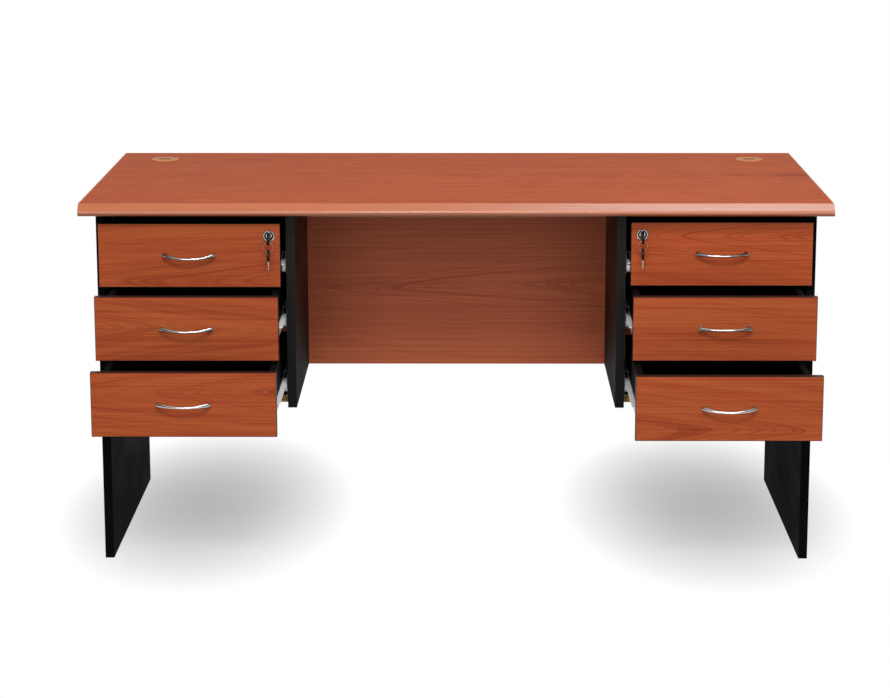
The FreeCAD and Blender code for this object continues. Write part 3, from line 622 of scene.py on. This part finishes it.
@dataclass(frozen=True)
class Plating(Finish):
    """Plated metal with fine polishing marks."""

    tone: Rgb = (196, 196, 197)
    rough: Pair = (0.09, 0.15)
    rough_kept: Pair = (0.3, 0.75)
    smear: Layer = Layer((60.0, 60.0, 60.0), 4.0, 0.6)
    dull_kept: Pair = (0.45, 0.8)
    dull_share: float = 0.82
    lines: Layer = Layer((90.0, 900.0, 900.0), 2.0)
    lift: float = 0.01 * MM

    def make(self, graph: Graph) -> bpy.types.Material:
        """Bright metal whose gloss breaks up in faint smears."""
        place = graph.place()
        smear = self.smear.over(graph, *place)
        duller = tuple(part * self.dull_share for part in self.tone)
        colour = graph.blend(graph.span(smear, *self.dull_kept), ink(*self.tone), ink(*duller))
        return graph.close(colour, graph.span(smear, *self.rough_kept, *self.rough),
                           self.lines.over(graph, *place), self.lift, Metallic=1.0)


CHERRY_TOP = Cherry("cherry_worktop", across=Across.FLAT, heart=0.12, core=0.03, taper=0.05, pale=(186, 88, 43),
                    deep=(160, 67, 30), vein=(128, 46, 20), gold=(190, 94, 46), satin=(0.45, 0.56), shine=0.02,
                    flame=0.6, dust=0.5)
# Painted light: the modesty panel's cherry is paler than the fronts' to make up for the shade it stands in under
# the worktop
LIGHTENED_CHERRY_BACK = Cherry("cherry_modesty", pale=(193, 101, 64), deep=(166, 80, 49), vein=(139, 61, 37),
                     gold=(170, 94, 58), shift=3.7, heart=0.495, taper=0.09, shine=0.2)
LIPPING = Lipping("satin_cherry_lipping")
CHARCOAL = Melamine("charcoal_melamine", scuffed=(0.56, 0.34))
END_BLACK = Melamine("charcoal_end_panel", tone=(12, 12, 12), gloss=(0.56, 0.72), shine=0.006)
DRAWER_BLACK = Melamine("black_drawer_board", tone=(12, 12, 13), gloss=(0.56, 0.72), shine=0.02)
CHIPBOARD = Chipboard("flaked_chipboard")
EPOXY = CoatedSteel("white_epoxy_steel")
# Painted shade: the cabinet channels get a dark grey coat that stands in for the shade they sit in behind the
# drawers
SHADE_GREY_CHANNEL = CoatedSteel("shade_grey_channel_steel", tone=(62, 63, 65), rub=(92, 93, 95))
NYLON = Moulding("white_nylon", tone=(214, 214, 210), rough=(0.37, 0.50))
# The grommet plastics carry painted shade below the worktop's top face, inside their holes
TAN = Moulding("tan_grommet_plastic", tone=(205, 140, 92), rough=(0.45, 0.58), shine=0.2, shade_below=0.7499)
TAN_CAP = Moulding("tan_cap_plastic", tone=(199, 128, 74), rough=(0.45, 0.58), shine=0.15, shade_below=0.7524)
KEY_BLACK = Moulding("black_key_plastic", tone=(17, 17, 18), rough=(0.25, 0.38), shine=0.16)
CHROME = Plating("polished_chrome")
NICKEL = Plating("nickel_key_blade", tone=(172, 168, 158), rough=(0.24, 0.34))
ZINC = Plating("zinc_plate", tone=(178, 180, 184), rough=(0.34, 0.50))
DULL_ZINC = Plating("dull_zinc_bracket", tone=(92, 93, 96), rough=(0.50, 0.66))


# Meshes

def stack_mesh(name: str, rings: np.ndarray, looped: bool = False) -> bpy.types.Object:
    """Joins closed rings of points into one closed skin.

    Point (i, j) is the j-th point of the i-th ring. Each ring meets the next in a belt of quads. The first and
    the last ring are closed by a fan to their mean point, or meet each other where the stack is looped.

    Args:
        name: Name of the piece.
        rings: Array of shape (rings, points, 3), in metres.
        looped: Whether the last ring meets the first.

    Returns:
        The new object, in the scene.
    """
    count, around, _ = rings.shape
    rows = np.arange(count if looped else count - 1)[:, None]
    columns = np.arange(around)[None, :]
    after = (columns + 1) % around
    above = (rows + 1) % count
    quads = np.stack((rows * around + columns, rows * around + after, above * around + after,
                      above * around + columns), axis=-1).reshape(-1, 4)
    points = rings.reshape(-1, 3)
    faces = quads.tolist()
    if not looped:
        points = np.concatenate((points, rings[:1].mean(axis=1), rings[-1:].mean(axis=1)))
        first = np.arange(around)
        turned = (first + 1) % around
        tail = (count - 1) * around
        low = np.stack((turned, first, np.full(around, count * around)), axis=-1)
        high = np.stack((first + tail, turned + tail, np.full(around, count * around + 1)), axis=-1)
        faces += low.tolist() + high.tolist()
    mesh = bpy.data.meshes.new(name)
    mesh.from_pydata(points.tolist(), [], faces)
    mesh.validate()
    mesh.polygons.foreach_set("use_smooth", np.ones(len(mesh.polygons), dtype=bool))
    piece = bpy.data.objects.new(name, mesh)
    bpy.context.scene.collection.objects.link(piece)
    outward(piece)
    return piece


def outward(piece: bpy.types.Object) -> None:
    """Turns every face of a closed mesh outwards, by the sign of the volume that its triangles enclose."""
    mesh = piece.data
    mesh.calc_loop_triangles()
    corners = np.empty(len(mesh.vertices) * 3)
    mesh.vertices.foreach_get("co", corners)
    index = np.empty(len(mesh.loop_triangles) * 3, dtype=np.int32)
    mesh.loop_triangles.foreach_get("vertices", index)
    triangles = corners.reshape(-1, 3)[index.reshape(-1, 3)]
    volume = np.einsum("ij,ij->i", triangles[:, 0], np.cross(triangles[:, 1], triangles[:, 2])).sum()
    if volume < 0:
        mesh.flip_normals()


def turned_rings(profile: np.ndarray, start: np.ndarray, axis: np.ndarray, around: int) -> np.ndarray:
    """Rings of a turned shape: each profile point (reach, radius) is a circle about the axis at that reach.

    Args:
        profile: Rows of reach along the axis and radius, in metres.
        start: Where the axis starts.
        axis: Unit vector of the axis, square to X.
        around: Points in a ring.

    Returns:
        Array of rings for stack_mesh.
    """
    side = np.cross(axis, (1.0, 0.0, 0.0))
    third = np.cross(axis, side)
    angle = np.linspace(0.0, TURN, around, endpoint=False)
    circle = np.cos(angle)[:, None] * side + np.sin(angle)[:, None] * third
    reach, radius = profile.T
    return start + reach[:, None, None] * axis + radius[:, None, None] * circle


def finished(piece: bpy.types.Object, body: str, finish: Finish) -> bpy.types.Object:
    """Dresses a new piece and lets it ride on a body.

    Args:
        piece: The piece.
        body: Body that carries it.
        finish: Its finish.

    Returns:
        The same piece.
    """
    finish.dress(piece)
    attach(piece, body)
    LOG.info("made %s on %s", piece.name, body)
    return piece


def dress_node(name: str, finish: Finish) -> None:
    """Gives a CAD node its finish."""
    finish.dress(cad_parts[name])
    LOG.info("dressed %s with %s", name, finish.name)


# Sub-assemblies

@dataclass
class Carcass:
    """Worktop, panels, rails, brackets, runners and grommets that stand still."""

    plain: Mapping[str, Finish]

    def dress(self) -> None:
        """Gives each fixed node its finish."""
        for name, finish in self.plain.items():
            dress_node(name, finish)


# Turned profiles of a handle's fittings, as reach along the axis and radius in millimetres
POST_FOOT = ((0.0, 5.2), (0.6, 5.2), (1.1, 4.7), (2.4, 4.0))
SCREW_SIDE = ((-8.0, 1.95), (0.0, 1.95), (0.0, 4.0), (1.2, 4.0), (2.0, 3.3), (2.4, 1.9), (2.4, 1.3), (1.4, 0.9))


@dataclass
class Handle:
    """Bow handle: a flat oval bar, thin in the middle and broad at its ends, on two flared posts."""

    drawer: str
    node: str
    tilt: float
    span: float = 102 * MM
    bow: float = 17 * MM
    rise: float = 2 * MM
    stand: float = 10 * MM
    pitch: float = 96 * MM
    middle_half: float = 2.2 * MM
    end_half: float = 4.3 * MM
    flare: float = 2.2
    depth_half: float = 2.6 * MM
    depth_gain: float = 0.4 * MM
    cap: float = 3.4 * MM
    waist_at: float = 0.7
    waist_radius: float = 3.7 * MM
    neck_radius: float = 3.3 * MM
    stations: int = 96
    bar_around: int = 28
    post_around: int = 32
    screw_around: int = 24

    def foot(self) -> np.ndarray:
        """Middle of the handle on the drawer's face, on the line of the bar's ends."""
        low, high = (np.array(corner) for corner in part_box(f"{self.drawer}_front"))
        return np.array(((low[0] + high[0]) / 2, low[1], (low[2] + high[2]) / 2 + self.rise))

    def line(self, across: np.ndarray) -> np.ndarray:
        """Bar's centre line: a circular arc through both ends, in a plane that dips forward by the tilt.

        Args:
            across: Distances along X from the handle's middle.

        Returns:
            Points of the line.
        """
        radius = ((self.span / 2) ** 2 + self.bow ** 2) / (2 * self.bow)
        out = np.sqrt(radius ** 2 - np.minimum(np.abs(across), self.span / 2) ** 2) - (radius - self.bow)
        offset = np.stack((across, -self.stand - out * math.cos(self.tilt), -out * math.sin(self.tilt)), axis=-1)
        return self.foot() + offset

    def bar(self) -> bpy.types.Object:
        """Oval section carried along the arc: its half height grows with a power of the way out from the middle.

        Returns:
            The bar.
        """
        total = self.span / 2 + self.cap
        across = np.sin(np.linspace(-math.pi / 2, math.pi / 2, self.stations)) * total
        out = np.clip(np.abs(across) / (self.span / 2), 0.0, 1.0)
        past = np.clip((np.abs(across) - (self.span / 2 - self.cap)) / (2 * self.cap), 0.0, 1.0)
        close = np.sqrt(np.clip(1.0 - past ** 2, 0.0, 1.0))
        tall = (self.middle_half + (self.end_half - self.middle_half) * out ** self.flare) * close
        deep = (self.depth_half + self.depth_gain * out) * close
        center = self.line(across)
        along = np.gradient(center, axis=0)
        along /= np.linalg.norm(along, axis=1)[:, None]
        up = np.array((0.0, -math.sin(self.tilt), math.cos(self.tilt)))
        forward = np.cross(along, up)
        forward /= np.linalg.norm(forward, axis=1)[:, None]
        angle = np.linspace(0.0, TURN, self.bar_around, endpoint=False)
        rings = (center[:, None, :]
                 + (deep[:, None] * np.cos(angle))[:, :, None] * forward[:, None, :]
                 + (tall[:, None] * np.sin(angle))[:, :, None] * up)
        return stack_mesh(f"{self.node}_bar", rings)

    def post(self, letter: str, sign: int) -> bpy.types.Object:
        """Post turned about Y, with a flared foot on the drawer's face."""
        top = self.line(np.array((sign * self.pitch / 2,)))[0]
        start = np.array((top[0], self.foot()[1], top[2]))
        reach = start[1] - top[1]
        shaft = ((reach * self.waist_at, self.waist_radius), (reach, self.neck_radius))
        profile = np.concatenate((np.array(POST_FOOT) * MM, shaft))
        return stack_mesh(f"{self.node}_post_{letter}", turned_rings(profile, start, TO_FRONT, self.post_around))

    def screw(self, letter: str, sign: int) -> bpy.types.Object:
        """Pan-head screw seen inside the drawer, turned about Y."""
        foot = self.foot()
        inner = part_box(f"{self.drawer}_front")[1][1]
        start = np.array((foot[0] + sign * self.pitch / 2, inner, foot[2]))
        return stack_mesh(f"{self.node}_screw_{letter}",
                          turned_rings(np.array(SCREW_SIDE) * MM, start, TO_BACK, self.screw_around))

    def build(self) -> None:
        """Makes the bar, posts and screws in place of the node."""
        bar = finished(self.bar(), self.drawer, CHROME)
        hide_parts(self.node)
        for letter, sign in (("a", -1), ("b", 1)):
            finished(self.post(letter, sign), self.drawer, CHROME)
            finished(self.screw(letter, sign), self.drawer, ZINC)


@dataclass(frozen=True)
class Trim:
    """What differs from drawer to drawer: the front's figure and tone, and the handle's tilt in degrees. The tone
    is partly the board's own and partly painted light, lightening or darkening a front to even out how it is lit.
    """

    heart: float
    taper: float
    shift: float
    tone: float
    tilt: float


TRIMS: dict[tuple[Side, Level], Trim] = {
    (Side.LEFT, Level.TOP): Trim(heart=-52 * MM, taper=0.10, shift=-3.9, tone=0.985, tilt=17),
    (Side.LEFT, Level.MIDDLE): Trim(heart=-2 * MM, taper=-0.14, shift=-2.6, tone=0.945, tilt=10.5),
    (Side.LEFT, Level.BOTTOM): Trim(heart=24 * MM, taper=0.13, shift=-1.17, tone=0.97, tilt=6),
    (Side.RIGHT, Level.TOP): Trim(heart=34 * MM, taper=0.12, shift=3.9, tone=1.07, tilt=5.5),
    (Side.RIGHT, Level.MIDDLE): Trim(heart=95 * MM, taper=0.06, shift=5.2, tone=0.975, tilt=-1.5),
    (Side.RIGHT, Level.BOTTOM): Trim(heart=-42 * MM, taper=-0.13, shift=6.5, tone=0.97, tilt=13),
}


@dataclass
class Drawer:
    """One drawer with its front, box, handle, runners and rollers."""

    side: Side
    level: Level
    band: float = 1 * MM

    @property
    def name(self) -> str:
        """Body of the drawer, which also starts the names of its nodes."""
        return f"{self.side.word}_{self.level.word}_drawer"

    @property
    def trim(self) -> Trim:
        """What is this drawer's own."""
        return TRIMS[self.side, self.level]

    def front_finish(self) -> BandedFront:
        """Cherry with a figure of its own, and a band round the front's own rim."""
        low, high = (np.array(corner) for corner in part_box(f"{self.name}_front"))
        middle, half = (low + high) / 2, (high - low) / 2 - self.band
        # Partly painted light: the trim's tone scales the colours, partly the board's own tone and partly to even
        # out how brightly the lamps light each front
        pale, deep, vein = (tuple(part * self.trim.tone for part in tint)
                            for tint in (BandedFront.pale, BandedFront.deep, BandedFront.vein))
        return BandedFront(f"cherry_{self.name}", heart=float(middle[2]) + self.trim.heart,
                           taper=self.trim.taper, shift=self.trim.shift, pale=pale, deep=deep, vein=vein,
                           center=(float(middle[0]), float(middle[2])), half=(float(half[0]), float(half[2])))

    def build(self) -> None:
        """Dresses the nodes and makes the handle."""
        dress_node(f"{self.name}_front", self.front_finish())
        for ending, finish in (("box", DRAWER_BLACK), ("runners", EPOXY), ("rollers", NYLON)):
            dress_node(f"{self.name}_{ending}", finish)
        dress_node(f"{self.side.word}_{self.level.word}_cabinet_rollers", NYLON)
        Handle(self.name, f"{self.name}_handle", tilt=math.radians(self.trim.tilt)).build()


@dataclass
class Lock:
    """Cam lock with a key, a split ring and a spare key."""

    side: Side
    head_radius: float = 12.5 * MM
    head_half: float = 2.5 * MM
    head_round: float = 0.45
    head_steps: tuple[int, int] = (56, 24)
    hole: float = 2.5 * MM
    hole_offset: float = 5.5 * MM
    spare_radius: float = 12 * MM
    spare_offset: float = 6.6 * MM
    spare_overlap: float = 1.0 * MM
    ring_radius: float = 9.5 * MM
    ring_half: float = 0.6 * MM
    ring_start: float = 0.3
    ring_turns: int = 2
    ring_lead: float = 2.2
    ring_steps: tuple[int, int] = (150, 10)
    wire: float = 0.34 * MM
    blade_half: float = 1.0 * MM
    blade_steps: int = 90
    blade_start: float = 0.7
    key_length: float = 31 * MM
    key_half: float = 3.9 * MM
    spare_length: float = 19.9 * MM
    spare_half: float = 3.4 * MM
    teeth: float = 6.5
    tooth_depth: float = 0.55
    tooth_start: float = 0.22
    nose: float = 0.08
    nose_round: float = 0.6
    tip: float = 0.35
    groove: Point = (0.15, 0.30, 0.45)
    groove_side: float = 0.45

    @property
    def lock_body(self) -> str:
        """Body that turns with the key."""
        return f"{self.side.word}_lock"

    @property
    def spare_body(self) -> str:
        """Body of the spare key."""
        return f"{self.side.word}_spare"

    def axis(self) -> np.ndarray:
        """Middle of the lock's face."""
        low, high = (np.array(corner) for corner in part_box(f"{self.side.word}_lock_barrel"))
        middle = (low + high) / 2
        return np.array((middle[0], low[1], middle[2]))

    def head_center(self) -> np.ndarray:
        """Middle of the key's head in front of the lock, from the head's foremost and highest points."""
        low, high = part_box(f"{self.side.word}_lock_key")
        return np.array((self.axis()[0], low[1] + self.head_radius, high[2] - self.head_radius))

    def spare_center(self) -> np.ndarray:
        """Middle of the spare key's head."""
        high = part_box(f"{self.side.word}_spare_key")[1]
        center = self.head_center()
        return np.array((center[0], center[1], high[2] - self.spare_radius))

    def head(self, name: str, center: np.ndarray, radius: float, hole_shift: float) -> bpy.types.Object:
        """Flat head with a hole: rounded sections run from the hole's circle to the outer circle at each angle.

        Args:
            name: Name of the piece.
            center: Middle of the head.
            radius: Outer radius.
            hole_shift: How far the hole's middle lies above the head's middle.

        Returns:
            The head.
        """
        turn = np.linspace(0.0, TURN, self.head_steps[0], endpoint=False)[:, None]
        section = np.linspace(0.0, TURN, self.head_steps[1], endpoint=False)[None, :]
        share = 0.5 + 0.5 * np.sign(np.cos(section)) * np.abs(np.cos(section)) ** self.head_round
        thick = self.head_half * np.sign(np.sin(section)) * np.abs(np.sin(section)) ** self.head_round
        reach = self.hole + share * (radius - self.hole)
        points = np.stack((thick + 0 * turn, reach * np.cos(turn),
                           reach * np.sin(turn) + (1.0 - share) * hole_shift), axis=-1)
        return stack_mesh(name, center + points, looped=True)

    def blade(self, name: str, start: np.ndarray, along: np.ndarray, up: np.ndarray, length: float,
              half: float) -> bpy.types.Object:
        """Key blade: an oblong section with a groove, whose one edge rises and falls in teeth along the length.

        Args:
            name: Name of the piece.
            start: Middle of the blade at the head.
            along: Unit vector to the tip.
            up: Unit vector across the blade's width.
            length: Length to the tip.
            half: Half of the width.

        Returns:
            The blade.
        """
        share = np.linspace(0.0, 1.0, self.blade_steps)
        saw = np.abs((share * self.teeth) % 1.0 - 0.5) * 2.0
        teeth = saw * half * self.tooth_depth * (share > self.tooth_start)
        nose = np.clip((1.0 - share) / self.nose, 0.0, 1.0) ** self.nose_round
        low = -(half - teeth) * nose
        high = half * nose
        flat = self.blade_half * np.clip(nose, self.tip, 1.0)
        center = start + share[:, None] * length * along
        thin = np.cross(along, up)
        first, middle, last = (part * high for part in self.groove)
        corners = ((-1, low), (-1, first), (-self.groove_side, middle), (-1, last), (-1, high),
                   (1, high), (1, low))
        edges = [center + (side * flat)[:, None] * thin + edge[:, None] * up for side, edge in corners]
        piece = stack_mesh(name, np.stack(edges, axis=1))
        piece.data.polygons.foreach_set("use_smooth", np.zeros(len(piece.data.polygons), dtype=bool))
        return piece

    def ring(self, name: str, center: np.ndarray) -> bpy.types.Object:
        """Split ring: a round wire along the flat turns of a helix across Y."""
        sweep = self.ring_turns * TURN
        turn = np.linspace(self.ring_start, self.ring_start + sweep, self.ring_steps[0])[:, None]
        lead = ((turn - self.ring_start) / sweep - 0.5) * self.ring_lead * self.wire
        section = np.linspace(0.0, TURN, self.ring_steps[1], endpoint=False)[None, :]
        reach = self.ring_radius + self.wire * np.cos(section)
        deep = lead + self.wire * np.sin(section)
        points = np.stack((reach * np.cos(turn), deep, reach * np.sin(turn)), axis=-1)
        return stack_mesh(name, center + points)

    def build(self) -> None:
        """Dresses the barrel and plug, and makes both keys and the ring in place of their nodes."""
        word = self.side.word
        dress_node(f"{word}_lock_barrel", CHROME)
        dress_node(f"{word}_lock_plug", CHROME)
        center, spare = self.head_center(), self.spare_center()
        head = self.head(f"{word}_key_head", center, self.head_radius, -self.hole_offset)
        finished(head, self.lock_body, KEY_BLACK)
        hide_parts(f"{word}_lock_key")
        start = np.array((center[0], center[1] + self.head_radius * self.blade_start, self.axis()[2]))
        blade = self.blade(f"{word}_key_blade", start, TO_BACK, -DOWN, self.key_length, self.key_half)
        finished(blade, self.lock_body, NICKEL)
        ring_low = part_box(f"{word}_lock_key")[0][2]
        ring_center = np.array((center[0], center[1], ring_low + self.ring_radius + self.ring_half))
        finished(self.ring(f"{word}_key_ring", ring_center), self.lock_body, NICKEL)
        spare_head = self.head(f"{word}_spare_head", spare, self.spare_radius, self.spare_offset)
        finished(spare_head, self.spare_body, KEY_BLACK)
        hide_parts(f"{word}_spare_key")
        start = spare + DOWN * (self.spare_radius - self.spare_overlap)
        blade = self.blade(f"{word}_spare_blade", start, DOWN, TO_BACK, self.spare_length, self.spare_half)
        finished(blade, self.spare_body, NICKEL)


# Studio

@dataclass(frozen=True)
class Lamp:
    """Soft rectangular lamp: where it stands, what it faces, its width and height, and its watts."""

    name: str
    place: Point
    target: Point
    size: Pair
    power: float

    def build(self) -> None:
        """Adds the lamp to the scene."""
        light = bpy.data.lights.new(self.name, "AREA")
        light.shape = "RECTANGLE"
        light.size, light.size_y = self.size
        light.energy = self.power
        item = bpy.data.objects.new(self.name, light)
        item.location = self.place
        item.rotation_euler = (Vector(self.target) - Vector(self.place)).to_track_quat("-Z", "Y").to_euler()
        bpy.context.scene.collection.objects.link(item)


# Point between the pedestals that the front lamps face
KNEEHOLE: Point = (0.0, 0.0, 0.45)
LAMPS = (
    Lamp("overhead", (1.0, -1.15, 4.2), (0.2, 0.0, 0.5), (1.5, 0.9), 51.0),
    Lamp("left_key", (-1.4, -4.9, 2.3), KNEEHOLE, (1.8, 3.0), 61.0),
    Lamp("right_key", (1.4, -4.9, 2.3), KNEEHOLE, (1.8, 3.0), 61.0),
    Lamp("high_key", (0.0, -3.7, 3.5), KNEEHOLE, (1.1, 0.7), 78.0),
)


@dataclass
class Studio:
    """White floor and surround, dark reflection cards, soft lamps and the camera."""

    eye: Point = (0.01968, -5.30321, 1.53931)
    pitch: float = math.radians(12.16)
    yaw: float = math.radians(-0.47)
    roll: float = math.radians(-0.06)
    focal_pixels: float = 2565.83
    image_width: int = 890
    sensor: float = 36.0
    clip: float = 200.0
    sky: float = 0.36
    floor_reach: float = 40.0
    floor_tone: float = 0.45
    shade_middle: Pair = (0.55, 0.2)
    shade_half: Pair = (0.32, 0.66)
    shade_white: float = 0.43
    card_places: Pair = (-2.4, 2.9)
    card_depths: Pair = (-5.0, -0.3)
    card_top: float = 3.0
    card_tone: Rgb = (20, 20, 20)
    card_rough: float = 0.9

    def camera(self) -> None:
        """Places the camera: its view falls by the pitch, swings by the yaw and turns by the roll."""
        level = math.cos(self.pitch)
        forward = np.array((math.sin(self.yaw) * level, math.cos(self.yaw) * level, -math.sin(self.pitch)))
        right = np.array((math.cos(self.yaw), -math.sin(self.yaw), 0.0))
        up = np.cross(right, forward)
        across = right * math.cos(self.roll) + up * math.sin(self.roll)
        upward = up * math.cos(self.roll) - right * math.sin(self.roll)
        turn = Matrix(np.stack((across, upward, -forward), axis=1).tolist()).to_4x4()
        lens = bpy.data.cameras.new("camera")
        lens.sensor_fit = "HORIZONTAL"
        lens.sensor_width = self.sensor
        lens.lens = self.focal_pixels / self.image_width * self.sensor
        lens.clip_end = self.clip
        item = bpy.data.objects.new("camera", lens)
        item.matrix_world = Matrix.Translation(self.eye) @ turn
        bpy.context.scene.collection.objects.link(item)
        bpy.context.scene.camera = item

    @staticmethod
    def sheets(name: str, corners: Sequence[Point], material: bpy.types.Material) -> bpy.types.Object:
        """Adds flat sheets to the scene.

        Args:
            name: Name of the sheets.
            corners: Corners of the sheets, four for each.
            material: Their material.

        Returns:
            The new object.
        """
        mesh = bpy.data.meshes.new(name)
        mesh.from_pydata(corners, [], np.arange(len(corners)).reshape(-1, 4).tolist())
        mesh.materials.append(material)
        item = bpy.data.objects.new(name, mesh)
        bpy.context.scene.collection.objects.link(item)
        return item

    def floor(self) -> None:
        """Pale floor whose white share grows with the squared distance, in half axes, from a shadow's middle, so
        that a partly painted shadow lies about each pedestal.
        """
        graph = Graph(bpy.data.materials.new("pale_floor"))
        x, y, _ = graph.place()
        beside = (abs(x) - self.shade_middle[0]) * (1.0 / self.shade_half[0])
        before = (y - self.shade_middle[1]) * (1.0 / self.shade_half[1])
        # Partly painted shadow: inside the ellipse less white is mixed in, so the real shadow shows there and the
        # floor greys even where light falls; outside it the floor is white
        share = graph.span(beside * beside + before * before, 0.0, 1.0, self.shade_white, 1.0)
        pale = graph.number("ShaderNodeBsdfDiffuse", {}, {"Color": (*[self.floor_tone] * 3, 1.0)})
        graph.node("ShaderNodeOutputMaterial", {}, {"Surface": graph.seen_white(pale, share)})
        far = self.floor_reach
        corners = [(-far, -far, 0.0), (far, -far, 0.0), (far, far, 0.0), (-far, far, 0.0)]
        item = self.sheets("floor", corners, graph.owner)

    def cards(self) -> None:
        """Upright dark cards at both sides that only reflections show, so that bright metal keeps dark lines."""
        near, far = self.card_depths
        outline = ((near, 0.0), (far, 0.0), (far, self.card_top), (near, self.card_top))
        corners = [(x, y, z) for x in self.card_places for y, z in outline]
        dark = Graph(bpy.data.materials.new("dark_card")).close(ink(*self.card_tone), self.card_rough)
        item = self.sheets("cards", corners, dark)
        item.visible_camera = False
        item.visible_diffuse = False
        item.visible_shadow = False

    def surround(self) -> None:
        """Even pale world that is seen as white."""
        graph = Graph(bpy.data.worlds.new("surround"))
        bpy.context.scene.world = graph.owner
        sky = graph.number("ShaderNodeBackground", {}, {"Strength": self.sky})
        graph.node("ShaderNodeOutputWorld", {}, {"Surface": graph.seen_white(sky, 1.0)})

    def build(self) -> None:
        """Sets the view transform, the floor, the cards, the surround, the lamps and the camera."""
        bpy.context.scene.view_settings.view_transform = "Standard"
        self.floor()
        self.cards()
        self.surround()
        for lamp in LAMPS:
            lamp.build()
        self.camera()


def fixed_finishes() -> dict[str, Finish]:
    """Finish of each node that is used as it is."""
    finishes: dict[str, Finish] = {
        "worktop": CHERRY_TOP,
        "worktop_front_lipping": LIPPING,
        "worktop_edge_bands": LIPPING,
        "modesty_panel": LIGHTENED_CHERRY_BACK,
        "bottom_rails": CHIPBOARD,
        "corner_brackets": DULL_ZINC,
        "fixing_screws": ZINC,
        "grommet_liners": TAN,
    }
    for side in Side:
        finishes[f"{side.word}_end_panel"] = END_BLACK
        finishes[f"{side.word}_inner_panel"] = CHARCOAL
        finishes[f"{side.word}_cabinet_runners"] = SHADE_GREY_CHANNEL
        finishes[f"{side.word}_grommet_cap"] = TAN_CAP
    return finishes


def main() -> None:
    """Builds the studio and the desk's sub-assemblies."""
    logging.basicConfig(level=logging.INFO, format="%(name)s: %(message)s")
    Studio().build()
    Carcass(fixed_finishes()).dress()
    for side in Side:
        for level in Level:
            Drawer(side, level).build()
        Lock(side).build()


if __name__ == "__main__":
    main()
